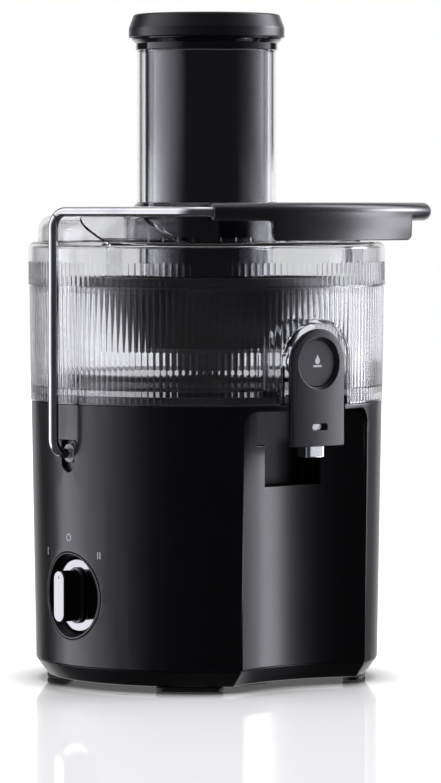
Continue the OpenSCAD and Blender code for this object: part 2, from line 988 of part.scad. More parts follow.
// The hood's outer or inner shape: a crescent with sloping front ends.
module hood_shape(inset, low) {
    inner = tube_r + 6 + inset;
    outer = lid_r - 5.5 - inset;
    top = lid_top_z + hood_h - inset;
    intersection() {
        rotate_extrude()
            rounded_profile(inner, outer, low, top, 9 - inset);
        rotate([90, 0, 90])
            translate([0, 0, -lid_r])
                linear_extrude(2 * lid_r)
                    polygon([
                        [-hood_slope + 2 * inset, lid_top_z - 3],
                        [-hood_slope + 2 * inset, lid_top_z],
                        [2 * inset, top + inset], [lid_r, top + inset], [lid_r, lid_top_z - 3]
                    ]);
    }
}

// Lid: a clear cap with the tube's collar, the pulp hood and two pulp walls.
module lid() {
    collar_r = tube_r + seat_gap;
    collar_top_z = lid_top_z + 19;
    hood_wall = 2.2;
    lip_in = bowl_top_r - clear_wall - seat_gap;
    color(clear)
        difference() {
            union() {
                rotate_extrude()
                    difference() {
                        rounded_profile(0, lid_r, bowl_top_z, lid_top_z, lid_round);
                        rounded_profile(
                            -1, lid_r - clear_wall, bowl_top_z - 1, lid_top_z - clear_wall,
                            lid_round - clear_wall
                        );
                    }
                ring(lip_in - 1.8, lip_in, bowl_top_z - 4, bowl_top_z + 3);
                ring(lip_in - 1, lid_r - 1, bowl_top_z + seat_gap, bowl_top_z + 3);
                ring(collar_r, collar_r + 2.3, lid_top_z - clear_wall, collar_top_z);
                hood_shape(0, lid_top_z - clear_wall);
                both_sides()
                    rotate([0, 0, 17.5])
                        translate([-lid_r + 4, -0.9, bowl_top_z + 6])
                            cube([13, 1.8, lid_h - 7]);
            }
            hood_shape(hood_wall, lid_top_z - clear_wall - 1);
            translate([0, 0, bowl_top_z])
                cylinder(r = collar_r, h = lid_h + hood_h + 10);
        }
}

// Feed tube: a plain clear tube down to just above the grater, with a ring on the lid's collar.
module feed_tube() {
    flange_z = lid_top_z + 19;
    flange_h = 3;
    color(clear)
        difference() {
            union() {
                translate([0, 0, tube_foot_z])
                    cylinder(r = tube_r, h = tube_top_z - tube_foot_z);
                translate([0, 0, flange_z])
                    cylinder(r1 = tube_r + 2.6, r2 = tube_r + 0.2, h = flange_h);
            }
            translate([0, 0, tube_foot_z - 1])
                cylinder(r = tube_bore_r, h = tube_top_z - tube_foot_z + 2);
        }
}

// Motor shaft: thick through the upper bearing, thin through the lower one and the fan.
module motor_shaft() {
    color("#9a9da1") {
        translate([0, 0, lower_plate_z + bracket_t - 1])
            cylinder(r = shaft_r, h = shaft_top_z - lower_plate_z - bracket_t + 1);
        translate([0, 0, fan_z - 2])
            cylinder(r = small_shaft_r, h = lower_plate_z + bracket_t - fan_z + 2);
    }
}

// Armature: the slotted rotor core with its winding heads.
module armature() {
    slots = 12;
    color(copper)
        difference() {
            union() {
                ring(shaft_r + eps, armature_r, stator_z, stator_top_z);
                ring(shaft_r + eps, armature_r - 4, stator_z - 5, stator_top_z + 7);
            }
            for (turn = [0:360 / slots:359])
                rotate([0, 0, turn])
                    translate([armature_r - 3, -1, stator_z - 1])
                        cube([4, 2, stator_h + 2]);
        }
}

// Commutator.
module commutator() {
    color("#c07f45")
        ring(shaft_r + eps, commutator_r, commutator_z, commutator_z + commutator_h);
}

// Cooling fan on the lower end of the shaft.
module cooling_fan() {
    blades = 10;
    color(black)
        union() {
            ring(small_shaft_r + eps, 8, fan_z, fan_z + fan_h);
            ring(7, fan_r, fan_z, fan_z + 2);
            for (turn = [0:360 / blades:359])
                rotate([0, 0, turn])
                    translate([7, -0.8, fan_z + 1])
                        cube([fan_r - 9, 1.6, fan_h - 3]);
        }
}

// Drive coupling: a six-sided driver on top of the shaft.
module drive_coupling() {
    color(black)
        difference() {
            translate([0, 0, coupling_z])
                cylinder(r = coupling_r, h = coupling_h, $fn = 6);
            translate([0, 0, coupling_z - 1])
                cylinder(r = shaft_r + eps, h = shaft_top_z - coupling_z + 1);
        }
}

// Sieve base: the moulded disc with the driven hub and the skirt around the chimney.
module sieve_base() {
    skirt_z = collector_floor_z + collector_floor_t + 2;
    color(black)
        difference() {
            union() {
                translate([0, 0, sieve_base_z])
                    cylinder(r = sieve_base_r, h = sieve_base_t);
                translate([0, 0, coupling_z + 3])
                    cylinder(r = hub_r, h = sieve_base_z - coupling_z - 2);
                ring(skirt_r, skirt_r + skirt_t, skirt_z, sieve_base_z + 1);
            }
            translate([0, 0, coupling_z + 2])
                cylinder(r = coupling_r + 0.1, h = coupling_h - 2 + seat_gap, $fn = 6);
        }
}

// Sieve mesh: a thin steel cone that widens upwards to a flange under the rim.
module sieve_mesh() {
    top_r = rim_r - 3;
    color(steel)
        rotate_extrude()
            polygon([
                [sieve_base_r - 4, grater_z], [sieve_base_r + eps, grater_z],
                [top_r, rim_z - 1], [top_r + 2, rim_z - 1], [top_r + 2, rim_z],
                [top_r - mesh_t, rim_z], [sieve_base_r - mesh_t, grater_z + mesh_t],
                [sieve_base_r - 4, grater_z + mesh_t]
            ]);
}

// Sieve rim: the plastic ring that closes the top of the mesh.
module sieve_rim() {
    color(dark_grey)
        ring(rim_r - rim_w, rim_r, rim_z, rim_z + rim_h);
}

// Grater disc: a steel disc with rows of raised teeth and a domed centre.
module grater_disc() {
    rows = 6;
    teeth_per_row = 7;
    tooth_pitch = (grater_r - 16) / teeth_per_row;
    color("#c9ccd0") {
        translate([0, 0, grater_z])
            cylinder(r = grater_r - 2, h = grater_t);
        translate([0, 0, grater_z])
            cylinder(r1 = 9, r2 = 6, h = grater_t + 1.8);
        for (row = [0:rows - 1], tooth = [0:teeth_per_row - 1])
            rotate([0, 0, row * 360 / rows + tooth * 7])
                translate([12 + tooth * tooth_pitch, -1.5, grater_z + grater_t / 2])
                    cube([0.8, 3, grater_t / 2 + tooth_h]);
    }
}

// Pusher body: a hollow plunger in the feed tube, with a flared collar that rests on the tube.
module pusher_body() {
    pusher_r = tube_bore_r - pusher_gap;
    low_z = tube_foot_z - 0.5;
    collar_z = tube_top_z + seat_gap;
    flare_h = 2.1;
    color(black)
        difference() {
            union() {
                translate([0, 0, low_z])
                    cylinder(r = pusher_r, h = cap_z - low_z);
                translate([0, 0, collar_z])
                    cylinder(r = tube_r + 0.8, h = cap_z - collar_z);
                translate([0, 0, cap_z - flare_h])
                    cylinder(r1 = tube_r + 1.7, r2 = tube_r + 3.6, h = flare_h);
            }
            translate([0, 0, low_z + 3])
                cylinder(r = pusher_r - pusher_skin, h = cap_z - low_z);
        }
}

// Pusher cap: a shallow rounded lid with a plug that closes the plunger.
module pusher_cap() {
    plug_r = tube_bore_r - pusher_gap - pusher_skin - slide_gap;
    low_z = cap_z;
    high_z = low_z + cap_h;
    slope_z = high_z - 8;
    color(black)
        difference() {
            union() {
                rotate_extrude()
                    polygon([
                        [0, low_z], [cap_r - 0.8, low_z], [cap_r, low_z + 0.8],
                        [cap_r, slope_z], [cap_r - 2.6, high_z - 1.6],
                        [cap_r - 4.2, high_z], [0, high_z]
                    ]);
                translate([0, 0, low_z - 8])
                    cylinder(r = plug_r, h = 9);
            }
            translate([0, 0, low_z - 9])
                cylinder(r = plug_r - 2.5, h = 9 + cap_h - 4);
        }
}

// A bend of round wire: lies in XY around Z, starts at +X and turns by an angle.
// It is a hair thinner than the straight lengths, which lap over its ends.
module bend(bend_r, turn, r) {
    rotate_extrude(angle = turn)
        translate([bend_r, 0])
            circle(r - lap_step, $fn = 48);
}

// A straight length of round wire along +X that laps into the bends at its ends.
module straight(r, length) {
    translate([-lap, 0, 0])
        rotate([0, 90, 0])
            cylinder(r = r, h = length + 2 * lap, $fn = 48);
}

// Left half of the bail's wire, from the pivot pin to the end of the cross bar.
module bail_half(r) {
    corner_cut = bar_bend_r * tan(bar_turn / 2);
    diagonal = (bar_bend_r - bend_y) / cos(arm_splay) - top_bend_r - corner_cut;
    pin_start = arm_x - low_bend_r;
    translate([-pin_start, 0, pivot_z])
        straight(r, pin_l);
    translate([-pin_start, 0, pivot_z + low_bend_r])
        rotate([90, 180, 0])
            bend(low_bend_r, 90, r);
    translate([-arm_x, 0, pivot_z + low_bend_r])
        rotate([0, -90, 0])
            straight(r, bar_z - top_bend_r - low_bend_r - pivot_z);
    translate([-arm_x, 0, bar_z])
        rotate([0, 0, arm_splay - 90]) {
            translate([top_bend_r, 0, -top_bend_r])
                rotate([90, 0, 0])
                    rotate([0, 0, 90])
                        bend(top_bend_r, 90, r);
            translate([top_bend_r, 0, 0])
                straight(r, diagonal);
        }
    corner_bend(r);
}

// Bend of the bail between a diagonal and the bowed cross bar, on the -X side.
module corner_bend(r) {
    translate([-bar_half, bend_y, bar_z])
        rotate([0, 0, 270 - bar_turn])
            bend(bar_bend_r, bar_turn - bow_turn, r);
}

// The bowed cross bar as round wire, between two angles from the front.
module bow(r, first, last) {
    translate([0, bow_y, bar_z])
        rotate([0, 0, 270 + first])
            rotate_extrude(angle = last - first)
                translate([bow_r, 0])
                    circle(r, $fn = 48);
}

// The bail's whole wire at a radius.
module bail_path(r) {
    both_sides()
        bail_half(r);
    bow(r, -bow_turn - lap_turn, bow_turn + lap_turn);
}

// Bail wire: both arms, both diagonals and the cross bar, in one bent wire.
module bail_wire() {
    color(steel)
        bail_path(wire_r);
}

// Bail handle: a sleeve over the cross bar and its far bend, with a curved flag below.
module bail_handle() {
    far_stub = 4;
    flag_spare = 1;
    flag_r = bow_r + sleeve_r - flag_set;
    color(dark_grey)
        difference() {
            union() {
                bow(sleeve_r, -near_turn, bow_turn + lap_turn);
                mirror([1, 0, 0]) {
                    corner_bend(sleeve_r);
                    translate([-bar_half, bend_y, bar_z])
                        rotate([0, 0, 90 + arm_splay])
                            translate([0, bar_bend_r, 0])
                                straight(sleeve_r, far_stub);
                }
                intersection() {
                    translate([0, bow_y, 0])
                        ring(flag_r - flag_t, flag_r, bar_z - flag_drop - flag_spare, bar_z + flag_spare);
                    rotate([90, 0, 0])
                        linear_extrude(flag_r)
                            flag_outline();
                }
            }
            bail_path(wire_r + wire_gap);
        }
}

// Front view of the flag: a strip from the bar down with a hollow fillet at its start.
module flag_outline() {
    low = bar_z - flag_drop;
    top = bar_z;
    mid = bar_z - sleeve_r + 0.5;
    difference() {
        union() {
            translate([flag_start, low + flag_corner])
                square([flag_end - flag_start, top - low - flag_corner]);
            translate([flag_start + flag_corner, low])
                square([flag_end - flag_start - 2 * flag_corner, flag_corner + 1]);
            for (corner = [flag_start + flag_corner, flag_end - flag_corner])
                translate([corner, low + flag_corner])
                    circle(flag_corner);
            translate([flag_start - flag_fillet, mid - flag_fillet])
                square([flag_fillet + 1, flag_fillet + 1]);
        }
        translate([flag_start - flag_fillet, mid - flag_fillet])
            circle(flag_fillet);
    }
}

// Pivot rings: plastic washers on the bail's ends, seen in the slots.
module pivot_rings() {
    outer_x = body_r - ring_out;
    color("#b9bbbe")
        both_sides()
            translate([-outer_x, 0, pivot_z])
                rotate([0, 90, 0])
                    difference() {
                        cylinder(r = ring_r - 0.2, h = ring_t);
                        translate([0, 0, -1])
                            cylinder(r = wire_r + eps, h = ring_t + 2);
                    }
}

// Dial spindle, from the switch to the grip.
module dial_spindle() {
    start = dish_floor - dish_floor_t - switch_depth + 6;
    color(steel)
        on_dial(start)
            cylinder(r = spindle_r, h = disc_front + spindle_stub - start);
}

// Dial disc: the metal plate that turns with the grip.
module dial_disc() {
    color("#c8cacc")
        on_dial(disc_back)
            difference() {
                cylinder(r = disc_r, h = disc_t);
                translate([0, 0, -1])
                    cylinder(r = spindle_r + eps, h = disc_t + 2);
            }
}

// Dial grip: a bar with round ends on a wider collar.
module dial_grip() {
    color(black)
        on_dial(disc_front)
            difference() {
                union() {
                    linear_extrude(collar_h)
                        rotate([0, 0, 90])
                            pill(grip_l, grip_w);
                    linear_extrude(collar_h + grip_h)
                        rotate([0, 0, 90])
                            pill(grip_l - grip_inset, grip_w - grip_inset - 1.7);
                }
                translate([0, 0, -1])
                    cylinder(r = spindle_r + eps, h = spindle_stub + 1.3);
            }
}

// Dial face: the metal inlay on the grip.
module dial_face() {
    color("#d5d7d9")
        on_dial(disc_front + collar_h + grip_h)
            linear_extrude(face_t)
                rotate([0, 0, 90])
                    pill(
                        grip_l - grip_inset - 2 * face_inset,
                        grip_w - grip_inset - 1.7 - 2 * face_inset
                    );
}

// Spout button: the round drip-stop button.
module spout_button() {
    color(dark_grey)
        on_outlet(cover_r - button_sink - button_t)
            cylinder(r = button_r, h = button_t);
}

// Drip valve: the button's stem with the plug that closes the outlet.
module drip_valve() {
    stem_end = cover_r - button_sink - button_t;
    plug_in = collector_r + 2.8 - valve_seat_t - valve_t;
    color("#d6d8da") {
        on_outlet(plug_in)
            cylinder(r = valve_r, h = valve_t);
        on_outlet(plug_in + 1)
            cylinder(r = stem_r, h = stem_end - plug_in - 1);
    }
}

// Button spring between the valve chamber and the button, as wound.
module button_spring() {
    spring_r = 5;
    spring_flare = 0.2;
    coil_r = 0.5;
    coils = 3;
    free_l = button_travel + 0.5;
    pitch = (free_l - 2 * coil_r - 0.2) / (coils - 1);
    color(steel)
        for (turn = [0:coils - 1])
            on_outlet(chamber_front + coil_r + 0.1 + turn * pitch)
                rotate_extrude()
                    translate([spring_r + turn * spring_flare, 0])
                        circle(coil_r, $fn = 24);
}

motor_housing();
base_plate();
feet();
base_screws();
cord_gland();
upper_bracket();
motor_mounts();
upper_bearing();
stator_core();
field_windings();
brush_holders();
lower_bracket();
lower_bearing();
shaft_seal();
pivot_blocks();
safety_switch();
rotary_switch();
dial_bezel();
bowl();
juice_collector();
bowl_gasket();
spout_nozzle();
spout_cover();
lid();
feed_tube();
motor_shaft();
armature();
commutator();
cooling_fan();
drive_coupling();
sieve_base();
sieve_mesh();
sieve_rim();
grater_disc();
pusher_body();
pusher_cap();
bail_wire();
bail_handle();
pivot_rings();
dial_spindle();
dial_disc();
dial_grip();
dial_face();
spout_button();
drip_valve();
button_spring();
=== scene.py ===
import json
import math

import bmesh
import bpy
from mathutils import Matrix, Vector


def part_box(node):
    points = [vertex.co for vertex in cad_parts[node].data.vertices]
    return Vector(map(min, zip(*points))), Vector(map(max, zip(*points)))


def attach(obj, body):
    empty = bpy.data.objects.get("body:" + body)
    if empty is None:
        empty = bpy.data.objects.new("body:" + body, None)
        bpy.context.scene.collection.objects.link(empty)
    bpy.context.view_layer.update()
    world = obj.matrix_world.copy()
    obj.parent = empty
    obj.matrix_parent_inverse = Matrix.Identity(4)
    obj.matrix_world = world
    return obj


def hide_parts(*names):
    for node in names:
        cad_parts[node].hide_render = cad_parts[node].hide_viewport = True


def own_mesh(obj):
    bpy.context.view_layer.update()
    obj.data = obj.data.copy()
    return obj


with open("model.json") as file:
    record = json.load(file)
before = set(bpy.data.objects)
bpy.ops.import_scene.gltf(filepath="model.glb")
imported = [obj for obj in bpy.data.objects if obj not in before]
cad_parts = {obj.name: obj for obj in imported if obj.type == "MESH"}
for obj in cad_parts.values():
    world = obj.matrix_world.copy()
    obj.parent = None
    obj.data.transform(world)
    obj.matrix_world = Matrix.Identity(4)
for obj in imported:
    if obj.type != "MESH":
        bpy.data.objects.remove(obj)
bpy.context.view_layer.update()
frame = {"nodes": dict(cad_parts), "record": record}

# Shapes are worked out in millimetres, in the CAD frame, and stored in metres.
MM = 0.001
TURN = 2 * math.pi


# ---------------------------------------------------------------- sizes from the frame

def node_box(node):
    """Lowest and highest corner of a CAD node in millimetres."""
    low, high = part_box(node)
    return Vector(low) / MM, Vector(high) / MM


HOUSING_LOW = node_box("motor_housing")[0]
BOWL_LOW = node_box("bowl")[0]
LID_HIGH = node_box("lid")[1]
TUBE_LOW, TUBE_HIGH = node_box("feed_tube")
BUTTON_LOW, BUTTON_HIGH = node_box("spout_button")
BAIL_LOW, BAIL_HIGH = node_box("bail_wire")
DISC_LOW, DISC_HIGH = node_box("dial_disc")
FACE_LOW = node_box("dial_face")[0]
COLLECTOR_LOW, COLLECTOR_HIGH = node_box("juice_collector")
PUSHER_LOW = node_box("pusher_body")[0]
CAP_LOW, CAP_HIGH = node_box("pusher_cap")
NOZZLE_LOW, NOZZLE_HIGH = node_box("spout_nozzle")

DECK_Z = BOWL_LOW.z
OUTLET_Z = (BUTTON_LOW.z + BUTTON_HIGH.z) / 2
DIAL_Z = (DISC_LOW.z + DISC_HIGH.z) / 2

# Clear bowl and lid.
BOWL_R = 101.2
BOWL_TOP_R = 102.0
BOWL_TOP_Z = DECK_Z + 66
BOWL_FLOOR_Z = DECK_Z + 5
CHAMBER_Z = BOWL_FLOOR_Z + 3
LID_R = LID_HIGH.x
LID_TOP_Z = BOWL_TOP_Z + 25
LID_SKIRT_Z = BOWL_TOP_Z + 13.0
LID_ROUND = 4.0
CLEAR_T = 2.4
SKIN_GAP = 0.05
RIB_COUNT = 174
RIB_DEPTH = 0.40
RIB_STEPS = 6
TUNNEL_HALF = 24.8
TUNNEL_WALL = 2.0
TUNNEL_FRONT = 112.0
TUNNEL_BACK = 74.0
SPIGOT_HOLE_R = 8.8
SHAFT_HOLE_R = 27.5

# Juice collector and its chimney.
COLLECTOR_R = COLLECTOR_HIGH.x
COLLECTOR_FLOOR_Z = COLLECTOR_LOW.z + 4.4
COLLECTOR_FLOOR_T = 2.5
CHIMNEY_IN_R = 14.5
CHIMNEY_OUT_R = 17.0
CHIMNEY_Z = 185.0

# Lid's fittings; angles are in degrees from the front.
COLLAR_H = 19.0
HOOD_H = 15.0
HOOD_FRONT_Y = -27.6
PULP_WALL_TURN = 17.5
TAB_COUNT = 8
TAB_START = -61.0
TAB_PITCH = 5.6

# Feed tube and pusher.
TUBE_BORE_R = 37.5
TUBE_R = 40.0
CAP_R = CAP_HIGH.x
PUSHER_R = TUBE_BORE_R - 2.1
PUSHER_SKIN = 2.2
PLUG_DEPTH = 8.0
COLLAR_R = TUBE_R + 0.8
SEAT_GAP = 0.3

# Drip-stop spout: the nozzle's pipe.
NOZZLE_W = 13.4
NOZZLE_D = 11.0
NOZZLE_ROUND = 2.4

# Bail.
WIRE_R = 2.8
ARM_X = BAIL_HIGH.x - WIRE_R
PIVOT_Z = BAIL_LOW.z + WIRE_R
BAR_Z = BAIL_HIGH.z - WIRE_R
BAR_HALF = 67.9
BAR_BEND_R = 20.0
BOW_R = 165.0
BOW_Y = BAIL_LOW.y + WIRE_R + BOW_R
BOW_TURN = math.asin(BAR_HALF / (BOW_R - BAR_BEND_R))
BEND_Y = BOW_Y - (BOW_R - BAR_BEND_R) * math.cos(BOW_TURN)
TOP_BEND_R = 9.0
LOW_BEND_R = 8.0
PIN_END_X = 91.0
SLEEVE_R = 5.1
NEAR_TURN = BOW_TURN - math.radians(0.9)
FLAG_START = -45.3
FLAG_END = BAR_HALF - 8.2
FLAG_DROP = 16.1
FLAG_T = 3.0
FLAG_SET = 0.3

# Housing's side wall, for the marks on it.
HOUSING_LOW_R = 98.3
HOUSING_FLARE = 2.5 / 147.7


# ---------------------------------------------------------------- mesh tools

def link(thing):
    bpy.context.scene.collection.objects.link(thing)
    return thing


def build(name, verts, faces, merge=0.0005):
    """A mesh object in metres from millimetre points, with outward faces."""
    mesh = bpy.data.meshes.new(name)
    mesh.from_pydata([Vector(v) * MM for v in verts], [], faces)
    work = bmesh.new()
    work.from_mesh(mesh)
    bmesh.ops.remove_doubles(work, verts=work.verts, dist=merge * MM)
    bmesh.ops.dissolve_degenerate(work, edges=work.edges, dist=merge * MM)
    bmesh.ops.recalc_face_normals(work, faces=work.faces)
    work.to_mesh(mesh)
    work.free()
    return link(bpy.data.objects.new(name, mesh))


def applied(thing):
    """Replaces an object's mesh by the result of its modifiers."""
    bpy.context.view_layer.update()
    graph = bpy.context.evaluated_depsgraph_get()
    mesh = bpy.data.meshes.new_from_object(thing.evaluated_get(graph))
    thing.modifiers.clear()
    thing.data = mesh
    return thing


def boolean(thing, tools, operation):
    """Joins, cuts or intersects with each tool in turn, and removes the tools."""
    for tool in tools:
        step = thing.modifiers.new("boolean", "BOOLEAN")
        step.operation = operation
        step.solver = "MANIFOLD"
        step.object = tool
        applied(thing)
        bpy.data.objects.remove(tool)
    return thing


def cut(thing, *tools):
    return boolean(thing, tools, "DIFFERENCE")


def join(thing, *tools):
    return boolean(thing, tools, "UNION")


def common(thing, *tools):
    return boolean(thing, tools, "INTERSECT")


def bevelled(thing, width, angle=30, segments=2):
    """Rounds the edges that are sharper than an angle."""
    step = thing.modifiers.new("bevel", "BEVEL")
    step.width = width * MM
    step.segments = segments
    step.limit_method = "ANGLE"
    step.angle_limit = math.radians(angle)
    step.use_clamp_overlap = False
    return applied(thing)


def softened(node, width, angle=30, segments=2):
    """A copy of a CAD node's shape as one welded skin with rounded edges."""
    mesh = frame["nodes"][node].data.copy()
    work = bmesh.new()
    work.from_mesh(mesh)
    bmesh.ops.remove_doubles(work, verts=work.verts, dist=0.002 * MM)
    bmesh.ops.dissolve_limit(work, angle_limit=math.radians(0.5), verts=work.verts, edges=work.edges)
    bmesh.ops.recalc_face_normals(work, faces=work.faces)
    work.to_mesh(mesh)
    work.free()
    thing = link(bpy.data.objects.new(node + "_look", mesh))
    return bevelled(thing, width, angle, segments)


def spin(name, profile, steps=192, ribs=False):
    """A closed outline of (radius, z) turned round Z. A third value is a rib's depth there."""
    verts = []
    faces = []
    count = len(profile)
    for step in range(steps):
        angle = TURN * step / steps
        valley = (1 - abs(math.cos(RIB_COUNT * angle / 2))) ** 1.7 if ribs else 0
        for point in profile:
            depth = point[2] if len(point) > 2 else 0
            radius = point[0] - depth * valley
            verts.append((radius * math.cos(angle), radius * math.sin(angle), point[1]))
        here = step * count
        there = (step + 1) % steps * count
        for j in range(count):
            k = (j + 1) % count
            faces.append((here + j, there + j, there + k, here + k))
    return build(name, verts, faces)


def loft(name, rings):
    """A closed skin over rings of equal length, capped at both ends."""
    count = len(rings[0])
    verts = [point for ring in rings for point in ring]
    faces = []
    for i in range(len(rings) - 1):
        for j in range(count):
            k = (j + 1) % count
            faces.append((i * count + j, i * count + k, (i + 1) * count + k, (i + 1) * count + j))
    faces.append(tuple(range(count)))
    faces.append(tuple((len(rings) - 1) * count + j for j in range(count)))
    return build(name, verts, faces)


def prism(name, outline, low, high):
    """An outline in XY between two heights."""
    return loft(name, [[(x, y, z) for x, y in outline] for z in (low, high)])


def rounded(corners, steps=6):
    """An outline whose corners (a, b, radius) are rounded."""
    out = []
    count = len(corners)
    for i, corner in enumerate(corners):
        here = Vector(corner[:2])
        radius = corner[2] if len(corner) > 2 else 0
        if radius <= 0:
            out.append(tuple(here))
            continue
        back = (Vector(corners[i - 1][:2]) - here).normalized()
        ahead = (Vector(corners[(i + 1) % count][:2]) - here).normalized()
        half = back.angle(ahead) / 2
        reach = radius / math.tan(half)
        middle = here + (back + ahead).normalized() * (radius / math.sin(half))
        start = here + back * reach - middle
        end = here + ahead * reach - middle
        first = math.atan2(start.y, start.x)
        swing = math.atan2(end.y, end.x) - first
        swing = (swing + math.pi) % TURN - math.pi
        for step in range(steps + 1):
            angle = first + swing * step / steps
            out.append((middle.x + radius * math.cos(angle), middle.y + radius * math.sin(angle)))
    return out


def arch(name, half, low, near, far, steps=48):
    """A solid with straight legs and a round top, from one distance to another in front."""
    outline = [(half, low)]
    for step in range(steps + 1):
        angle = math.pi * step / steps
        outline.append((half * math.cos(angle), OUTLET_Z + half * math.sin(angle)))
    outline.append((-half, low))
    return loft(name, [[(x, -distance, z) for x, z in outline] for distance in (near, far)])


def round_front(name, radius, near, far, steps=64):
    """A cylinder round the outlet's axis, between two distances in front."""
    ring = [TURN * step / steps for step in range(steps)]
    return loft(name, [
        [(radius * math.cos(a), -distance, OUTLET_Z + radius * math.sin(a)) for a in ring]
        for distance in (near, far)
    ])


def sweep(name, path, ring_at):
    """A skin along a path; ring_at(i) gives the outline at a point as (side, up) pairs."""
    rings = []
    for i, point in enumerate(path):
        here = Vector(point)
        before = Vector(path[max(i - 1, 0)])
        after = Vector(path[min(i + 1, len(path) - 1)])
        along = (after - before).normalized()
        if abs(along.z) > 0.7:
            side = Vector((0, 1, 0))
        else:
            side = Vector((0, 0, 1)).cross(along)
        side = (side - along * side.dot(along)).normalized()
        up = along.cross(side)
        rings.append([tuple(here + side * s + up * u) for s, u in ring_at(i)])
    return loft(name, rings)


def weighted(thing):
    """Shading that keeps broad faces flat and gives the turn to the small ones."""
    step = thing.modifiers.new("normals", "WEIGHTED_NORMAL")
    step.keep_sharp = True
    return applied(thing)


def finish_piece(thing, body, skin, nodes=(), crease=40):
    """Shading, material, body and the CAD nodes that a piece stands for."""
    mesh = thing.data
    mesh.polygons.foreach_set("use_smooth", [True] * len(mesh.polygons))
    mesh.set_sharp_from_angle(angle=math.radians(crease))
    weighted(thing)
    thing.data.materials.clear()
    thing.data.materials.append(SKINS[skin])
    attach(thing, body)
    if nodes:
        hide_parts(*nodes)
    return thing


# ---------------------------------------------------------------- materials

def noise(tree, scale, detail=3.0, stretch=(1, 1, 1)):
    """Noise over the object's own coordinates, in metres."""
    place = tree.nodes.new("ShaderNodeTexCoord")
    fit = tree.nodes.new("ShaderNodeMapping")
    fit.inputs["Scale"].default_value = stretch
    grain = tree.nodes.new("ShaderNodeTexNoise")
    grain.inputs["Scale"].default_value = scale
    grain.inputs["Detail"].default_value = detail
    tree.links.new(place.outputs["Object"], fit.inputs["Vector"])
    tree.links.new(fit.outputs["Vector"], grain.inputs["Vector"])
    return grain.outputs["Fac"]


def spread(tree, value, low, high):
    """Maps a noise value to a range."""
    step = tree.nodes.new("ShaderNodeMapRange")
    step.inputs["From Min"].default_value = 0.3
    step.inputs["From Max"].default_value = 0.7
    step.inputs["To Min"].default_value = low
    step.inputs["To Max"].default_value = high
    tree.links.new(value, step.inputs["Value"])
    return step.outputs["Result"]


def tint(tree, value, dark, light, start=0.3, end=0.7):
    """A colour between two by a value."""
    ramp = tree.nodes.new("ShaderNodeValToRGB")
    ramp.color_ramp.elements[0].position = start
    ramp.color_ramp.elements[0].color = (*dark, 1)
    ramp.color_ramp.elements[1].position = end
    ramp.color_ramp.elements[1].color = (*light, 1)
    tree.links.new(value, ramp.inputs["Fac"])
    return ramp.outputs["Color"]


def bump(tree, value, strength, depth):
    """A bump normal from a height value; depth is in metres."""
    node = tree.nodes.new("ShaderNodeBump")
    node.inputs["Strength"].default_value = strength
    node.inputs["Distance"].default_value = depth
    tree.links.new(value, node.inputs["Height"])
    return node.outputs["Normal"]


def shader(name):
    """A new material with its node tree and its Principled node."""
    material = bpy.data.materials.new(name)
    material.use_nodes = True
    tree = material.node_tree
    return material, tree, tree.nodes["Principled BSDF"]


def solid_skin(
    name, color, rough, spread_rough=0.05, grain=1800.0, grain_strength=0.25, grain_depth=0.00003,
    metallic=0.0, coat=0.0, stretch=(1, 1, 1), mottle=0.12, specular=0.5,
):
    """An opaque material: mottled colour, uneven roughness and a fine grain."""
    material, tree, main = shader(name)
    dark = tuple(c * (1 - mottle) for c in color)
    light = tuple(min(1, c * (1 + mottle)) for c in color)
    links = tree.links
    links.new(tint(tree, noise(tree, 60.0), dark, light), main.inputs["Base Color"])
    soft = noise(tree, 25.0, 4.0, stretch)
    links.new(spread(tree, soft, rough - spread_rough, rough + spread_rough), main.inputs["Roughness"])
    fine = noise(tree, grain, 2.0, stretch)
    links.new(bump(tree, fine, grain_strength, grain_depth), main.inputs["Normal"])
    main.inputs["Metallic"].default_value = metallic
    main.inputs["Coat Weight"].default_value = coat
    main.inputs["Coat Roughness"].default_value = 0.05
    main.inputs["Specular IOR Level"].default_value = specular
    return material


def clear_skin(name, color, rough=0.015, ior=1.49, specular=0.5):
    """Clear plastic with faint flow marks and painted shade that darkens its colour towards grazing edges;
    light passes through it.
    """
    material, tree, main = shader(name)
    links = tree.links
    # Painted shade: the colour darkens towards grazing edges, standing in for the dark room seen in the
    # walls.
    edge = tree.nodes.new("ShaderNodeLayerWeight")
    edge.inputs["Blend"].default_value = 0.25
    shade = tuple(c * 0.62 for c in color)
    links.new(tint(tree, edge.outputs["Facing"], color, shade, 0.45, 0.98), main.inputs["Base Color"])
    links.new(spread(tree, noise(tree, 30.0, 4.0), rough * 0.5, rough * 1.6), main.inputs["Roughness"])
    links.new(bump(tree, noise(tree, 40.0, 1.0), 0.03, 0.0001), main.inputs["Normal"])
    main.inputs["Transmission Weight"].default_value = 1.0
    main.inputs["IOR"].default_value = ior
    main.inputs["Specular IOR Level"].default_value = specular
    path = tree.nodes.new("ShaderNodeLightPath")
    through = tree.nodes.new("ShaderNodeBsdfTransparent")
    through.inputs["Color"].default_value = (0.90, 0.91, 0.92, 1)
    mix = tree.nodes.new("ShaderNodeMixShader")
    links.new(path.outputs["Is Shadow Ray"], mix.inputs["Fac"])
    links.new(main.outputs["BSDF"], mix.inputs[1])
    links.new(through.outputs["BSDF"], mix.inputs[2])
    links.new(mix.outputs["Shader"], tree.nodes["Material Output"].inputs["Surface"])
    return material


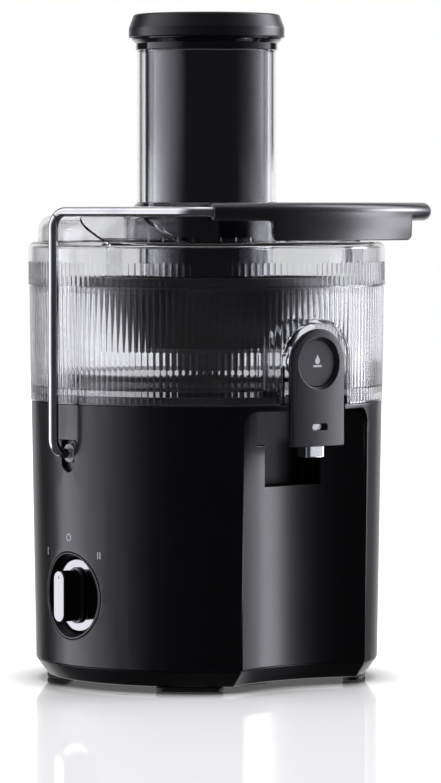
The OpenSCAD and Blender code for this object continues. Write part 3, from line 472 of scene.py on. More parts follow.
def sieve_skin(name):
    """Perforated steel: rows of small dark holes on a brushed sheet."""
    material, tree, main = shader(name)
    links = tree.links
    place = tree.nodes.new("ShaderNodeTexCoord")
    cells = tree.nodes.new("ShaderNodeTexVoronoi")
    cells.inputs["Scale"].default_value = 1300.0
    cells.inputs["Randomness"].default_value = 0.15
    links.new(place.outputs["Object"], cells.inputs["Vector"])
    holes = tint(tree, cells.outputs["Distance"], (0.01, 0.01, 0.01), (0.09, 0.09, 0.094), 0.34, 0.42)
    links.new(holes, main.inputs["Base Color"])
    links.new(bump(tree, holes, 0.6, 0.0002), main.inputs["Normal"])
    links.new(spread(tree, noise(tree, 300.0), 0.28, 0.42), main.inputs["Roughness"])
    main.inputs["Metallic"].default_value = 1.0
    return material


SKINS = {
    "housing_black": solid_skin(
        "housing_black", (0.0013, 0.0012, 0.0034), 0.30, 0.015, grain=1500.0, grain_strength=0.4,
        grain_depth=0.00004),
    "matt_dark_grey": solid_skin(
        "matt_dark_grey", (0.016, 0.0158, 0.020), 0.40, 0.03, grain=2200.0, grain_strength=0.35),
    "rubber_black": solid_skin("rubber_black", (0.012, 0.012, 0.012), 0.62, grain=900.0, grain_strength=0.4),
    "plated_steel": solid_skin("plated_steel", (0.55, 0.56, 0.58), 0.3, metallic=1.0),
    "bearing_steel": solid_skin("bearing_steel", (0.6, 0.61, 0.63), 0.16, metallic=1.0, grain_strength=0.1),
    "laminated_iron": solid_skin(
        "laminated_iron", (0.2, 0.2, 0.21), 0.45, metallic=1.0, grain=900.0, stretch=(0.05, 0.05, 4)),
    "copper": solid_skin("copper", (0.6, 0.25, 0.1), 0.35, metallic=1.0, grain=700.0, stretch=(1, 1, 3)),
    "brass": solid_skin("brass", (0.6, 0.42, 0.15), 0.35, metallic=1.0),
    "silicone_grey": solid_skin("silicone_grey", (0.25, 0.25, 0.26), 0.5),
    "switch_plastic": solid_skin("switch_plastic", (0.12, 0.1, 0.1), 0.5),
    "clear_plastic": clear_skin("clear_plastic", (0.94, 0.942, 0.952)),
    # The lid's copy of the clear plastic has a darker colour: painted shade.
    "clear_lid_shaded": clear_skin("clear_lid_shaded", (0.80, 0.802, 0.812), ior=1.3),
    "clear_inner": clear_skin("clear_inner", (0.93, 0.932, 0.94), ior=1.1),
    # The floors' clear material is dark grey: painted shade for the view through the floor slabs.
    "clear_floor_shaded": clear_skin("clear_floor_shaded", (0.40, 0.40, 0.41), ior=1.06, specular=0.2),
    "clear_tube": clear_skin("clear_tube", (0.965, 0.97, 0.98), specular=0.05),
    "satin_silver": solid_skin(
        "satin_silver", (0.72, 0.73, 0.75), 0.24, 0.03, metallic=1.0, grain=2600.0, grain_strength=0.15),
    "dial_metal": solid_skin(
        "dial_metal", (0.21, 0.21, 0.215), 0.075, 0.015, metallic=1.0, grain=900.0, grain_strength=0.03,
        mottle=0.03),
    "grip_black": solid_skin(
        "grip_black", (0.003, 0.003, 0.0034), 0.2, 0.02, grain=1200.0, grain_strength=0.1),
    "inner_black": solid_skin("inner_black", (0.012, 0.012, 0.013), 0.4),
    "natural_plastic": solid_skin("natural_plastic", (0.6, 0.6, 0.58), 0.4),
    "stainless_sieve": sieve_skin("stainless_sieve"),
    "gloss_black": solid_skin(
        "gloss_black", (0.0032, 0.003, 0.0055), 0.08, 0.02, grain=400.0, grain_strength=0.04, coat=0.3),
    "stainless_wire": solid_skin(
        "stainless_wire", (0.62, 0.62, 0.63), 0.19, 0.03, metallic=1.0, grain=1400.0, grain_strength=0.12),
    "light_grey_plastic": solid_skin("light_grey_plastic", (0.3, 0.3, 0.32), 0.4),
    "satin_cap": solid_skin(
        "satin_cap", (0.0085, 0.0083, 0.0115), 0.34, 0.03, grain=2200.0, grain_strength=0.3),
    "satin_handle": solid_skin(
        "satin_handle", (0.0055, 0.0053, 0.0085), 0.28, 0.02, grain=2400.0, grain_strength=0.2, specular=1.0),
    "print_white": solid_skin("print_white", (0.8, 0.8, 0.81), 0.5, mottle=0.03),
}

# CAD nodes that keep their shape get their material by the record's slot.
slots = {part["node"]: part["material_slot"] for part in frame["record"]["subparts"]}
for node_name, node_object in frame["nodes"].items():
    node_object.data.materials.clear()
    node_object.data.materials.append(SKINS[slots[node_name]])


# ---------------------------------------------------------------- base

def make_base():
    """Housing, base plate, feet and cord gland, with their edges rounded."""
    finish_piece(softened("motor_housing", 0.7), "base", "housing_black", ["motor_housing"])
    finish_piece(softened("base_plate", 0.7), "base", "housing_black", ["base_plate"])
    finish_piece(softened("feet", 0.8), "base", "rubber_black", ["feet"])
    finish_piece(softened("cord_gland", 0.6), "base", slots["cord_gland"], ["cord_gland"])


def make_spring():
    """The button's return spring, as a rounded copy with a mesh of its own."""
    spring = softened("button_spring", 0.02, angle=60)
    finish_piece(spring, "base", slots["button_spring"], ["button_spring"])
    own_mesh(spring)


# ---------------------------------------------------------------- clear bowl, collector, lid and tube

def make_bowl():
    """Bowl: fluted wall, floor, locating ring and the arched tunnel for the spout."""
    foot_in = BOWL_R - CLEAR_T
    ring_in = COLLECTOR_R + 0.5
    ring_out = COLLECTOR_R + 2.5
    floor_r = foot_in - 2
    step_z = CHAMBER_Z + 8
    profile = [
        (floor_r, BOWL_FLOOR_Z), (foot_in, BOWL_FLOOR_Z), (foot_in, DECK_Z), (BOWL_R, DECK_Z),
        (BOWL_R, DECK_Z + 0.8), (BOWL_R, DECK_Z + 1.2, RIB_DEPTH),
        (BOWL_TOP_R, BOWL_TOP_Z - 0.8, RIB_DEPTH), (BOWL_TOP_R, BOWL_TOP_Z - 0.4), (BOWL_TOP_R, BOWL_TOP_Z),
        (BOWL_TOP_R - CLEAR_T, BOWL_TOP_Z), (foot_in, CHAMBER_Z + 1), (foot_in - 1, CHAMBER_Z),
        (floor_r, CHAMBER_Z),
    ]
    shell = spin("bowl_look", profile, RIB_COUNT * RIB_STEPS, ribs=True)
    cut(shell, arch("tunnel_room", TUNNEL_HALF, DECK_Z - 1, TUNNEL_FRONT, TUNNEL_BACK + 8.5))
    rim = floor_r - SKIN_GAP
    floor = spin("bowl_floor", [
        (SHAFT_HOLE_R, BOWL_FLOOR_Z), (rim, BOWL_FLOOR_Z), (rim, CHAMBER_Z), (ring_out, CHAMBER_Z),
        (ring_out, step_z), (ring_in, step_z), (ring_in, CHAMBER_Z), (SHAFT_HOLE_R, CHAMBER_Z)])
    cut(floor, arch("tunnel_room", TUNNEL_HALF, DECK_Z - 1, TUNNEL_FRONT, TUNNEL_BACK))
    # The floor's dark clear material is painted shade.
    finish_piece(floor, "base", "clear_floor_shaded")
    outer = arch("tunnel_outer", TUNNEL_HALF, DECK_Z, TUNNEL_FRONT, TUNNEL_BACK)
    inner = arch("tunnel_inner", TUNNEL_HALF - TUNNEL_WALL, DECK_Z - 1, TUNNEL_FRONT + 1, ring_out)
    limit = spin("limit", [
        (ring_in, DECK_Z), (BOWL_R - 0.6, DECK_Z), (BOWL_R - 0.6, BOWL_TOP_Z), (ring_in, BOWL_TOP_Z)], 256)
    tunnel = common(cut(outer, inner), limit)
    cut(tunnel, round_front("spigot_hole", SPIGOT_HOLE_R, 90, TUNNEL_BACK))
    join(shell, tunnel)
    cut(shell, round_front("spigot_hole", SPIGOT_HOLE_R, 90, TUNNEL_BACK))
    finish_piece(shell, "base", "clear_plastic", ["bowl"])


def make_shade_ring():
    """A black ring under the bowl's floor inside its foot, open at the spout: a dark sheet that paints shade
    into the view through the floor.
    """
    outer = BOWL_R - CLEAR_T - 0.5
    inner = outer - 20
    top = BOWL_FLOOR_Z - 0.3
    shade_ring = spin("painted_shade_ring", [
        (inner, DECK_Z), (outer, DECK_Z), (outer, top - 0.5), (outer - 0.5, top), (inner, top)])
    gap = TUNNEL_HALF + 2.5
    cut(shade_ring, prism("gap", [(-gap, -120), (gap, -120), (gap, -40), (-gap, -40)], DECK_Z - 1, top + 1))
    finish_piece(shade_ring, "base", "housing_black")


def make_collector():
    """Juice collector: the inner clear cup with its chimney."""
    low = COLLECTOR_FLOOR_Z
    high = low + COLLECTOR_FLOOR_T
    top = COLLECTOR_HIGH.z
    outer = COLLECTOR_R
    wall_in = outer - 2
    floor_r = outer - 4
    profile = [
        (wall_in, COLLECTOR_LOW.z), (outer, COLLECTOR_LOW.z), (outer, top - 0.4), (outer - 0.4, top),
        (floor_r + 0.4, top), (floor_r, top - 0.4), (floor_r, top - 1.6), (wall_in, top - 1.6),
        (wall_in, high + 1.5), (outer - 3.2, high), (floor_r, high), (floor_r, low), (wall_in, low),
    ]
    cup = spin("juice_collector_look", profile, 224)
    rim = floor_r - SKIN_GAP
    floor = spin("collector_floor", [
        (CHIMNEY_OUT_R, high), (CHIMNEY_OUT_R, CHIMNEY_Z - 0.4), (CHIMNEY_OUT_R - 0.4, CHIMNEY_Z),
        (CHIMNEY_IN_R + 0.4, CHIMNEY_Z), (CHIMNEY_IN_R, CHIMNEY_Z - 0.4), (CHIMNEY_IN_R, low),
        (rim, low), (rim, high)])
    # The collector floor's dark clear material is painted shade.
    finish_piece(floor, "base", "clear_floor_shaded")
    cut(cup, round_front("spigot_hole", SPIGOT_HOLE_R, 90, 70))
    finish_piece(cup, "base", "clear_inner", ["juice_collector"])


def hood_solid(name, inset, low):
    """The pulp hood: a crescent with a rounded outer edge and sloping front ends."""
    inner = TUBE_R + 6 + inset
    outer = LID_R - 5.5 - inset
    top = LID_TOP_Z + HOOD_H - inset
    profile = rounded([(inner, low), (outer, low), (outer, top, 9 - inset), (inner, top, 1.2)], 10)
    hood = spin(name, profile, 224)
    front = HOOD_FRONT_Y + 2 * inset
    side = rounded([
        (front, LID_TOP_Z - 4), (front, LID_TOP_Z, 1), (2 * inset, top + inset, 3), (LID_R + 5, top + inset),
        (LID_R + 5, LID_TOP_Z - 4)], 5)
    wedge = loft("wedge", [[(x, y, z) for y, z in side] for x in (-LID_R, LID_R)])
    return common(hood, wedge)


def make_lid():
    """Lid: fluted skirt, smooth crown, the tube's collar, the pulp hood and two pulp walls."""
    under = LID_TOP_Z - CLEAR_T
    wall_in = LID_R - CLEAR_T
    lip_in = BOWL_TOP_R - CLEAR_T - 0.3
    collar_in = TUBE_R + 0.3
    collar_out = collar_in + 2.3
    collar_z = LID_TOP_Z + COLLAR_H
    crown = rounded([(LID_R, LID_SKIRT_Z + 0.6), (LID_R, LID_TOP_Z, LID_ROUND), (collar_in, LID_TOP_Z)], 12)
    below = rounded([(collar_in, under), (wall_in, under, LID_ROUND - CLEAR_T), (wall_in, LID_SKIRT_Z)], 8)
    profile = [
        (wall_in, BOWL_TOP_Z), (LID_R, BOWL_TOP_Z), (LID_R, BOWL_TOP_Z + 0.4),
        (LID_R, BOWL_TOP_Z + 0.8, RIB_DEPTH), (LID_R, LID_SKIRT_Z, RIB_DEPTH),
    ] + crown[:-1] + [
        (collar_out, LID_TOP_Z), (collar_out, collar_z - 0.4), (collar_out - 0.4, collar_z),
        (collar_in, collar_z),
    ] + below + [
        (wall_in, BOWL_TOP_Z + 3), (lip_in - 1.8, BOWL_TOP_Z + 3), (lip_in - 1.8, BOWL_TOP_Z - 4),
        (lip_in, BOWL_TOP_Z - 4), (lip_in, BOWL_TOP_Z + 0.3), (wall_in, BOWL_TOP_Z + 0.3),
    ]
    lid = spin("lid_look", profile, RIB_COUNT * RIB_STEPS, ribs=True)
    join(lid, hood_solid("hood_outer", 0, under))
    cut(lid, hood_solid("hood_inner", 2.2, under - 1))
    for side in (-1, 1):
        wall = prism("pulp_wall", [
            (-side * 98.5, -0.9), (-side * 85.5, -0.9), (-side * 85.5, 0.9), (-side * 98.5, 0.9)],
            BOWL_TOP_Z + 6, under + 0.5)
        wall.data.transform(Matrix.Rotation(math.radians(PULP_WALL_TURN) * side, 4, "Z"))
        join(lid, wall)
    for step in range(TAB_COUNT):
        turn = TAB_START + TAB_PITCH * step
        tab = prism(
            "tab", [(-0.6, -88), (0.6, -88), (0.6, -86), (-0.6, -86)], LID_TOP_Z - 0.6, LID_TOP_Z + 2.6)
        tab.data.transform(Matrix.Rotation(math.radians(turn), 4, "Z"))
        join(lid, tab)
    # The lid's darker clear material is painted shade.
    finish_piece(lid, "base", "clear_lid_shaded", ["lid"])


def make_tube():
    """Feed tube: a plain tube with a flared foot collar."""
    top = TUBE_HIGH.z
    low = TUBE_LOW.z
    flare = LID_TOP_Z + COLLAR_H
    bore = TUBE_BORE_R
    profile = [
        (bore, low + 0.4), (bore + 0.4, low), (TUBE_R - 0.4, low), (TUBE_R, low + 0.4),
        (TUBE_R, flare), (TUBE_R + 2.6, flare), (TUBE_R + 2.6, flare + 0.6), (TUBE_R + 0.2, flare + 3),
        (TUBE_R, flare + 3.4), (TUBE_R, top - 0.4), (TUBE_R - 0.4, top), (bore + 0.4, top), (bore, top - 0.4),
    ]
    tube = spin("feed_tube_look", profile, 256)
    finish_piece(tube, "base", "clear_tube", ["feed_tube"])


# ---------------------------------------------------------------- pusher

def make_pusher():
    """Pusher: a gloss black cup, a collar that sits on the tube's rim and a cap."""
    low = PUSHER_LOW.z
    base = CAP_LOW.z + PLUG_DEPTH
    seat = TUBE_HIGH.z + SEAT_GAP
    bore = PUSHER_R - PUSHER_SKIN
    body = spin("pusher_body_look", rounded([
        (0, low), (PUSHER_R, low, 1.5), (PUSHER_R, seat + 1), (bore, seat + 1), (bore, low + 3),
        (0, low + 3)], 4), 256)
    finish_piece(body, "pusher", "gloss_black", ["pusher_body"])
    collar = spin("pusher_collar", [
        (bore, seat + 0.8), (PUSHER_R - 0.2, seat + 0.8), (PUSHER_R - 0.2, seat), (COLLAR_R - 0.3, seat),
        (COLLAR_R, seat + 0.3), (COLLAR_R, base - 3.4), (COLLAR_R + 0.6, base - 2.9),
        (COLLAR_R + 2.4, base - 1.2), (COLLAR_R + 2.2, base - 0.8), (COLLAR_R - 1.5, base - 0.8),
        (COLLAR_R - 1.5, base - 0.05), (bore, base - 0.05)], 256)
    finish_piece(collar, "pusher", "gloss_black")
    high = CAP_HIGH.z
    plug = bore - 0.08
    cap = spin("pusher_cap_look", rounded([
        (0, base - PLUG_DEPTH), (plug, base - PLUG_DEPTH, 0.5), (plug, base), (CAP_R, base, 0.8),
        (CAP_R, high - 8, 2.5), (CAP_R - 2.9, high, 1.8), (0, high)], 8), 256)
    finish_piece(cap, "pusher", "satin_cap", ["pusher_cap"])


# ---------------------------------------------------------------- bail

def arc_points(centre, first, second, start, end, radius, steps):
    """Points of an arc round a centre in the plane of two directions."""
    return [
        centre + first * (radius * math.cos(a)) + second * (radius * math.sin(a))
        for a in [start + (end - start) * step / steps for step in range(steps + 1)]
    ]


def bail_splay():
    """Angle by which the wire's diagonals lean outwards from the cross bar to the arms."""
    span = Vector((ARM_X - BAR_HALF, -BEND_Y))
    return math.atan2(span.x, span.y) - math.asin(BAR_BEND_R / span.length)


def bail_half_path():
    """The wire's middle line from the pivot pin at +X to the middle of the cross bar."""
    splay = bail_splay()
    x_dir = Vector((1, 0, 0))
    up = Vector((0, 0, 1))
    out = Vector((-math.sin(splay), -math.cos(splay), 0))
    path = [Vector((PIN_END_X, 0, PIVOT_Z))]
    low_centre = Vector((ARM_X - LOW_BEND_R, 0, PIVOT_Z + LOW_BEND_R))
    path += arc_points(low_centre, -up, x_dir, 0, math.pi / 2, LOW_BEND_R, 12)
    top_centre = Vector((ARM_X, 0, BAR_Z - TOP_BEND_R)) + out * TOP_BEND_R
    path += arc_points(top_centre, -out, up, 0, math.pi / 2, TOP_BEND_R, 14)
    bend_centre = Vector((BAR_HALF, BEND_Y, BAR_Z))
    front = Vector((0, -1, 0))
    path += arc_points(bend_centre, x_dir, front, splay, math.pi / 2 - BOW_TURN, BAR_BEND_R, 16)
    bow = arc_points(Vector((0, BOW_Y, BAR_Z)), front, x_dir, BOW_TURN, 0, BOW_R, 24)
    return path + bow[1:]


def make_bail():
    """Bail: the bent wire in one piece, its washers and its handle."""
    half = bail_half_path()
    path = half + [Vector((-p.x, p.y, p.z)) for p in reversed(half[:-1])]
    ring = [(WIRE_R * math.cos(TURN * k / 32), WIRE_R * math.sin(TURN * k / 32)) for k in range(32)]
    wire = sweep("bail_wire_look", path, lambda i: ring)
    finish_piece(wire, "bail", "stainless_wire", ["bail_wire"])
    finish_piece(softened("pivot_rings", 0.3), "bail", slots["pivot_rings"], ["pivot_rings"])
    make_handle()


def handle_section(drop):
    """Outline of the handle across the bar: a round sleeve with a flag that is flush in front."""
    blend_r = 3.0
    edge = 0.8
    front = FLAG_SET - SLEEVE_R
    back = front + FLAG_T
    low = -FLAG_DROP
    share = (drop - SLEEVE_R) / (FLAG_DROP - SLEEVE_R)
    middle = back + blend_r
    depth = math.sqrt((SLEEVE_R + blend_r) ** 2 - middle ** 2)
    contact = math.atan2(-depth, middle)
    meet = math.pi + math.asin(math.sqrt(SLEEVE_R ** 2 - front ** 2) / SLEEVE_R)
    upper = [contact + (meet - contact) * step / 28 for step in range(29)]
    points = [(SLEEVE_R * math.cos(a), SLEEVE_R * math.sin(a)) for a in upper]
    flank = [
        (front, -4.0), (front, -8.0), (front, low + edge), (front + edge, low), (back - edge, low),
        (back, low + edge), (back, -depth)]
    touch = math.atan2(depth, -middle)
    for step in range(1, 7):
        angle = math.pi - (math.pi - touch) * step / 7
        flank.append((middle + blend_r * math.cos(angle), -depth + blend_r * math.sin(angle)))
    swing = TURN + contact - meet
    for step, full_point in enumerate(flank):
        angle = meet + swing * (step + 1) / (len(flank) + 1)
        plain = (SLEEVE_R * math.cos(angle), SLEEVE_R * math.sin(angle))
        points.append(tuple(p + (f - p) * share for p, f in zip(plain, full_point)))
    return points


def flag_stations():
    """Places across the handle as seen from the front, each with the depth of the flag there."""
    corner = 3.5
    fillet = 5.0
    mid = SLEEVE_R - 0.5
    low = FLAG_DROP
    quarter = [math.pi / 2 * step / 6 for step in range(7)]
    places = [(FLAG_START - fillet, SLEEVE_R)]
    for a in quarter[1:]:
        drop = mid + fillet - fillet * math.cos(a)
        places.append((FLAG_START - fillet + fillet * math.sin(a), max(drop, SLEEVE_R)))
    turned = [(corner * math.cos(a), corner * math.sin(a)) for a in quarter]
    places += [(FLAG_START + corner - across + 0.02, low - corner + down) for across, down in turned]
    reach = FLAG_END - FLAG_START - 2 * corner
    places += [(FLAG_START + corner + reach * step / 30, low) for step in range(1, 30)]
    places += [(FLAG_END - corner + across, low - corner + down) for across, down in reversed(turned)]
    return places + [(FLAG_END + 0.2, SLEEVE_R + 3), (FLAG_END + 0.7, SLEEVE_R)]


def make_handle():
    """Handle: sleeve over the cross bar and its far bend, with the flag hanging from it."""
    flag_r = BOW_R + SLEEVE_R - FLAG_T / 2
    flag = [(math.asin(x / flag_r), drop, 1) for x, drop in flag_stations()]
    near = flag[0][0] + NEAR_TURN
    far = BOW_TURN - flag[-1][0]
    stations = [(-NEAR_TURN, SLEEVE_R, 0.93)]
    stations += [(-NEAR_TURN + 0.002 + (near - 0.002) * step / 10, SLEEVE_R, 1) for step in range(10)]
    stations += flag
    stations += [(flag[-1][0] + far * step / 8, SLEEVE_R, 1) for step in range(1, 8)]
    path = [
        Vector((BOW_R * math.sin(turn), BOW_Y - BOW_R * math.cos(turn), BAR_Z))
        for turn, drop, scale in stations]
    shape = [(drop, scale) for turn, drop, scale in stations]
    splay = bail_splay()
    centre = Vector((BAR_HALF, BEND_Y, BAR_Z))
    bend = arc_points(
        centre, Vector((1, 0, 0)), Vector((0, -1, 0)), math.pi / 2 - BOW_TURN, splay, BAR_BEND_R, 14)
    out = Vector((math.sin(splay), math.cos(splay), 0))
    stub = [(1.5, 1), (3.0, 0.985), (3.7, 0.92), (4.1, 0.8)]
    path += bend + [bend[-1] + out * reach for reach, scale in stub]
    shape += [(SLEEVE_R, 1)] * len(bend) + [(SLEEVE_R, scale) for reach, scale in stub]

    def ring_at(i):
        drop, scale = shape[i]
        return [(s * scale, u * scale) for s, u in handle_section(drop)]

    handle = sweep("bail_handle_look", path, ring_at)
    finish_piece(handle, "bail", "satin_handle", ["bail_handle"], 50)


# ---------------------------------------------------------------- printed marks

def ring_points(radius, steps=40):
    return [(radius * math.cos(TURN * k / steps), radius * math.sin(TURN * k / steps)) for k in range(steps)]


def stroke(width, height, across=0.0):
    """A bar with softened corners, as an outline."""
    round_r = min(width, height) * 0.3
    return rounded([
        (across - width / 2, -height / 2, round_r), (across + width / 2, -height / 2, round_r),
        (across + width / 2, height / 2, round_r), (across - width / 2, height / 2, round_r)], 3)


def mark(name, outline, across, up, place, body, hole=None):
    """A printed mark: an outline raised a hair over the surface that place(across, up, out) gives."""
    def skin(points, out):
        return [place(across + a, up + u, out) for a, u in points]

    raised = 0.04
    sunk = -0.15
    if hole:
        rings = [skin(outline, sunk), skin(outline, raised), skin(hole, raised), skin(hole, sunk)]
        count = len(outline)
        verts = [point for ring in rings for point in ring]
        faces = []
        for i in range(4):
            for j in range(count):
                k = (j + 1) % count
                n = (i + 1) % 4
                faces.append((i * count + j, i * count + k, n * count + k, n * count + j))
        thing = build(name, verts, faces)
    else:
        thing = loft(name, [skin(outline, sunk), skin(outline, raised)])
    finish_piece(thing, body, "print_white")


def on_side(across, up, out):
    """A point over the housing's dial side; across runs along Y."""
    radius = HOUSING_LOW_R + (up - HOUSING_LOW.z) * HOUSING_FLARE + out
    return (-math.sqrt(radius ** 2 - across ** 2), across, up)


def on_dial(across, up, out):
    return (FACE_LOW.x - out, across, up)


def on_button(across, up, out):
    return (across, BUTTON_LOW.y - out, up)


def drop_outline(width, height):
    """A water drop: a round bottom that runs up to a point."""
    radius = width / 2
    tip = height - radius
    lean = math.asin(radius / tip)
    points = []
    for step in range(25):
        angle = math.pi - lean + (math.pi + 2 * lean) * step / 24
        points.append((radius * math.cos(angle), radius * math.sin(angle)))
    return points + [(0.12, tip - 0.25), (0, tip), (-0.12, tip - 0.25)]


def make_marks():
    """Generic marks: O, I and II round the dial, and a drop over a bar on the button."""
    mark("mark_off", ring_points(2.15), 0, 84.8, on_side, "base", ring_points(1.5))
    mark("mark_one", stroke(0.65, 4.2), 23.1, 75.7, on_side, "base")
    mark("mark_two_left", stroke(0.65, 4.1, -0.8), -23.9, 75.7, on_side, "base")
    mark("mark_two_right", stroke(0.65, 4.1, 0.8), -23.9, 75.7, on_side, "base")
    mark("mark_pointer", ring_points(0.7), 0, DIAL_Z + 10.7, on_dial, "dial")
    mark("mark_drop", drop_outline(3.5, 5.5), 0.6, OUTLET_Z + 1.2, on_button, "button")
    mark("mark_bar", stroke(6.2, 1.1), 0.6, OUTLET_Z - 1.6, on_button, "button")


# ---------------------------------------------------------------- nozzle

def make_nozzle():
    """Nozzle with well rounded upright corners below its valve chamber."""
    nozzle = softened("spout_nozzle", 0.5)
    low = NOZZLE_LOW.z
    half = NOZZLE_W / 2
    round_r = NOZZLE_ROUND
    front = NOZZLE_LOW.y
    back = front + NOZZLE_D
    pipe = prism("pipe", rounded([
        (-half, front, round_r), (half, front, round_r), (half, back, round_r), (-half, back, round_r)], 6),
        low - 1, DECK_Z - 0.8)
    head = prism("head", [(-20, -110), (20, -110), (20, -60), (-20, -60)], DECK_Z - 0.9, NOZZLE_HIGH.z + 1)
    common(nozzle, join(pipe, head))
    finish_piece(nozzle, "base", slots["spout_nozzle"], ["spout_nozzle"])


make_base()
make_bowl()
make_shade_ring()
make_collector()
make_lid()
make_tube()
make_pusher()
make_bail()
make_marks()

finish_piece(softened("sieve_base", 0.3), "rotor", "inner_black", ["sieve_base"])
finish_piece(softened("sieve_rim", 0.3), "rotor", "inner_black", ["sieve_rim"])
finish_piece(softened("spout_cover", 0.8), "base", "matt_dark_grey", ["spout_cover"])
make_nozzle()
finish_piece(softened("spout_button", 0.5), "button", slots["spout_button"], ["spout_button"])
make_spring()
finish_piece(softened("dial_bezel", 0.3), "base", slots["dial_bezel"], ["dial_bezel"])
finish_piece(softened("dial_disc", 0.3), "dial", "dial_metal", ["dial_disc"])
finish_piece(softened("dial_grip", 0.5), "dial", "grip_black", ["dial_grip"])
finish_piece(softened("dial_face", 0.25), "dial", "dial_metal", ["dial_face"])


# ---------------------------------------------------------------- camera, floor and light

CAMERA_TURN = math.radians(-38.7)
CAMERA_REACH = 2.6
CAMERA_Z = 0.2705
CAMERA_LENS = 207.7
AIM = Vector((0.0062, -0.0050, 0.1644))
AMBIENT = 0.05
FLOOR_HALF = 4000
FLOOR_GLOW = 0.5


def make_camera():
    """A long lens at the height of the lid, round to the dial's side."""
    data = bpy.data.cameras.new("camera")
    data.lens = CAMERA_LENS
    data.sensor_width = 36
    data.clip_end = 50
    eye = bpy.data.objects.new("camera", data)
    eye.location = (
        math.sin(CAMERA_TURN) * CAMERA_REACH, -math.cos(CAMERA_TURN) * CAMERA_REACH, CAMERA_Z)
    eye.rotation_euler = (AIM - eye.location).to_track_quat("-Z", "Y").to_euler()
    bpy.context.scene.camera = link(eye)


def maths(tree, operation, *values):
    """A math node fed by sockets or numbers."""
    node = tree.nodes.new("ShaderNodeMath")
    node.operation = operation
    for slot, value in zip(node.inputs, values):
        if isinstance(value, (int, float)):
            slot.default_value = value
        else:
            tree.links.new(value, slot)
    return node.outputs["Value"]


def ramp_between(tree, value, start, end, low, high):
    """Maps a value linearly, held at both ends."""
    node = tree.nodes.new("ShaderNodeMapRange")
    for slot, number in zip(("From Min", "From Max", "To Min", "To Max"), (start, end, low, high)):
        node.inputs[slot].default_value = number
    tree.links.new(value, node.inputs["Value"])
    return node.outputs["Result"]


def window(tree, value, start, end, soft):
    """1 between two values and 0 outside, with soft ends."""
    rise = ramp_between(tree, value, start - soft, start + soft, 0, 1)
    fall = ramp_between(tree, value, end - soft, end + soft, 1, 0)
    return maths(tree, "MULTIPLY", rise, fall)


def falling_light(tree, around, dark, bright, power, peak):
    """A light's strength over the angle: nothing at one end, growing by a power to its peak."""
    share = ramp_between(tree, around, dark, bright, 0, 1)
    return maths(tree, "MULTIPLY", maths(tree, "POWER", share, power), peak)


def lamp(tree, around, height, sides, heights, soft, strength):
    """A lamp that fills a range of angles to the side and a range of heights, in degrees."""
    across = window(tree, around, *sides, 3)
    upward = window(tree, height, *heights, soft)
    return maths(tree, "MULTIPLY", maths(tree, "MULTIPLY", across, upward), strength)


def mixed(tree, factor, first, second):
    """One value or another by a factor."""
    node = tree.nodes.new("ShaderNodeMix")
    for slot, value in (("Factor", factor), ("A", first), ("B", second)):
        if isinstance(value, (int, float)):
            node.inputs[slot].default_value = value
        else:
            tree.links.new(value, node.inputs[slot])
    return node.outputs["Result"]


def room_light(tree, around, height, behind):
    """What shiny surfaces see: softboxes and lamps at the sides, the white sweep and the ceiling."""
    left_low = maths(
        tree, "MULTIPLY", window(tree, around, -114, -34, 1.5),
        falling_light(tree, around, -34, -112, 1.8, 4.2))
    right_low = maths(
        tree, "MULTIPLY", window(tree, around, 60, 126, 3), ramp_between(tree, around, 60, 126, 0.15, 1.0))
    left_high = maths(
        tree, "MULTIPLY", window(tree, around, -112, -36, 1.5),
        falling_light(tree, around, -36, -110, 1.0, 2.15))
    right_high = maths(
        tree, "MULTIPLY", window(tree, around, 45, 126, 3), falling_light(tree, around, 45, 125, 2.4, 1.7))
    low = maths(tree, "ADD", left_low, right_low)
    high = maths(tree, "ADD", left_high, right_high)
    boxes = mixed(tree, ramp_between(tree, height, 0.3, 0.9, 0, 1), low, high)
    lights = [
        maths(tree, "MULTIPLY", boxes, window(tree, height, -35, 58, 6)),
        behind,
        ramp_between(tree, height, 50, 75, 0, 0.8),
        lamp(tree, around, height, (86, 109), (-40, -1), 1.0, 5.0),
        lamp(tree, around, height, (95, 127), (5, 58), 2.0, 3.2),
        lamp(tree, around, height, (96, 127), (4, 16), 1.5, 11.0),
    ]
    room = AMBIENT
    for light in lights:
        room = maths(tree, "ADD", light, room)
    return room


def through_light(tree, around, height):
    """What is seen straight through the clear parts: the sweep, darker at the sides of the tube."""
    sides = window(tree, maths(tree, "ABSOLUTE", around), 100, 150, 5)
    low_dim = ramp_between(tree, around, -20, 20, 0.3, 0.0)
    tube_dim = ramp_between(tree, height, 0.2, 0.9, 0.0, 0.93)
    bowl_dim = maths(tree, "MULTIPLY", ramp_between(tree, height, 0.2, 0.9, 1.0, 0.0), low_dim)
    depth = maths(tree, "ADD", tube_dim, bowl_dim)
    return maths(tree, "SUBTRACT", 1.0, maths(tree, "MULTIPLY", sides, depth))


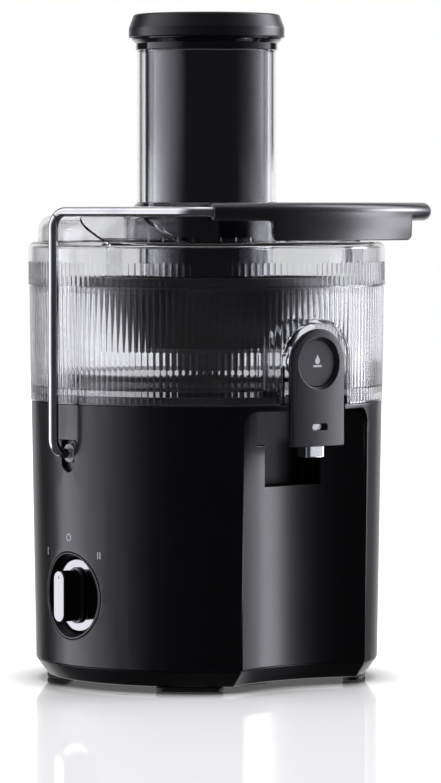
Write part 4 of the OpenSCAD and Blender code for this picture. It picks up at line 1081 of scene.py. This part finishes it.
def make_world():
    """Studio: a tall softbox at each side, a dark room in front and a white sweep behind."""
    world = bpy.data.worlds.new("studio")
    world.use_nodes = True
    tree = world.node_tree
    links = tree.links
    place = tree.nodes.new("ShaderNodeTexCoord")
    turn = tree.nodes.new("ShaderNodeMapping")
    turn.inputs["Rotation"].default_value = (0, 0, math.pi / 2 - CAMERA_TURN)
    links.new(place.outputs["Generated"], turn.inputs["Vector"])
    parts = tree.nodes.new("ShaderNodeSeparateXYZ")
    links.new(turn.outputs["Vector"], parts.inputs["Vector"])
    # Degrees round from the front, positive to the right, and degrees above level.
    around = maths(
        tree, "MULTIPLY", maths(tree, "ARCTAN2", parts.outputs["Y"], parts.outputs["X"]), 180 / math.pi)
    height = maths(tree, "MULTIPLY", maths(tree, "ARCSINE", parts.outputs["Z"]), 180 / math.pi)
    behind = maths(tree, "SUBTRACT", 1, window(tree, around, -153, 153, 6))
    rays = tree.nodes.new("ShaderNodeLightPath")
    room = room_light(tree, around, height, behind)
    # Light that has passed a clear wall finds the right end of the sweep brighter.
    inside = maths(tree, "GREATER_THAN", rays.outputs["Transmission Depth"], 0.5)
    fill = maths(
        tree, "MULTIPLY", maths(tree, "MULTIPLY", window(tree, around, 122, 156, 4), inside),
        ramp_between(tree, height, 0.2, 0.6, 0.9, 0.0))
    bounced = maths(tree, "ADD", rays.outputs["Glossy Depth"], rays.outputs["Diffuse Depth"])
    direct = maths(tree, "LESS_THAN", bounced, 0.5)
    clear = mixed(
        tree, maths(tree, "MULTIPLY", rays.outputs["Is Transmission Ray"], direct),
        maths(tree, "ADD", room, fill), through_light(tree, around, height))
    seen = mixed(tree, rays.outputs["Is Camera Ray"], clear, 1.0)
    cool = tree.nodes.new("ShaderNodeMix")
    cool.data_type = "RGBA"
    links.new(maths(tree, "MAXIMUM", rays.outputs["Is Camera Ray"], behind), cool.inputs["Factor"])
    cool.inputs["A"].default_value = (0.985, 0.98, 1.06, 1)
    cool.inputs["B"].default_value = (1, 1, 1, 1)
    back = tree.nodes["Background"]
    links.new(cool.outputs["Result"], back.inputs["Color"])
    links.new(seen, back.inputs["Strength"])
    bpy.context.scene.world = world


def painted_floor_shadow(tree, reach, closed, clear, darkest):
    """Painted shadow for the floor, from how open it is to the sky: 1 in the open, less under and beside the
    juicer.
    """
    near = tree.nodes.new("ShaderNodeAmbientOcclusion")
    near.inputs["Distance"].default_value = reach
    near.samples = 8
    return ramp_between(tree, near.outputs["AO"], closed, clear, darkest, 1.0)


def make_floor():
    """A pale glossy worktop that keeps the juicer's shadow, with painted shadow besides: its colour, glow and
    gloss darken under and beside the juicer by ambient occlusion.
    """
    half = FLOOR_HALF
    corners = [(-half, -half, 0), (half, -half, 0), (half, half, 0), (-half, half, 0)]
    floor = build("floor", corners, [(0, 1, 2, 3)])
    floor.location.z = -0.0002
    material, tree, main = shader("floor")
    links = tree.links
    # Painted shadow near the juicer, from ambient occlusion, darkens the floor's colour, glow and gloss.
    wide_painted_shadow = painted_floor_shadow(tree, 0.16, 0.30, 0.95, 0.5)
    contact = painted_floor_shadow(tree, 0.03, 0.38, 0.95, 0.035)
    painted_shadow = maths(tree, "MULTIPLY", wide_painted_shadow, contact)
    pale = tint(tree, noise(tree, 3.0), (0.80, 0.80, 0.80), (0.82, 0.82, 0.82))
    shade = tree.nodes.new("ShaderNodeVectorMath")
    shade.operation = "SCALE"
    links.new(pale, shade.inputs[0])
    links.new(painted_shadow, shade.inputs["Scale"])
    links.new(shade.outputs["Vector"], main.inputs["Base Color"])
    main.inputs["Roughness"].default_value = 0.05
    links.new(maths(tree, "MULTIPLY", contact, 0.3), main.inputs["Specular IOR Level"])
    glow = tree.nodes.new("ShaderNodeEmission")
    rays = tree.nodes.new("ShaderNodeLightPath")
    direct = maths(tree, "MULTIPLY", rays.outputs["Is Camera Ray"], FLOOR_GLOW)
    links.new(maths(tree, "MULTIPLY", direct, painted_shadow), glow.inputs["Strength"])
    both = tree.nodes.new("ShaderNodeAddShader")
    links.new(main.outputs["BSDF"], both.inputs[0])
    links.new(glow.outputs["Emission"], both.inputs[1])
    links.new(both.outputs["Shader"], tree.nodes["Material Output"].inputs["Surface"])
    floor.data.materials.append(material)
    floor.visible_glossy = False


make_camera()
make_world()
make_floor()
bpy.context.scene.view_settings.view_transform = "Standard"
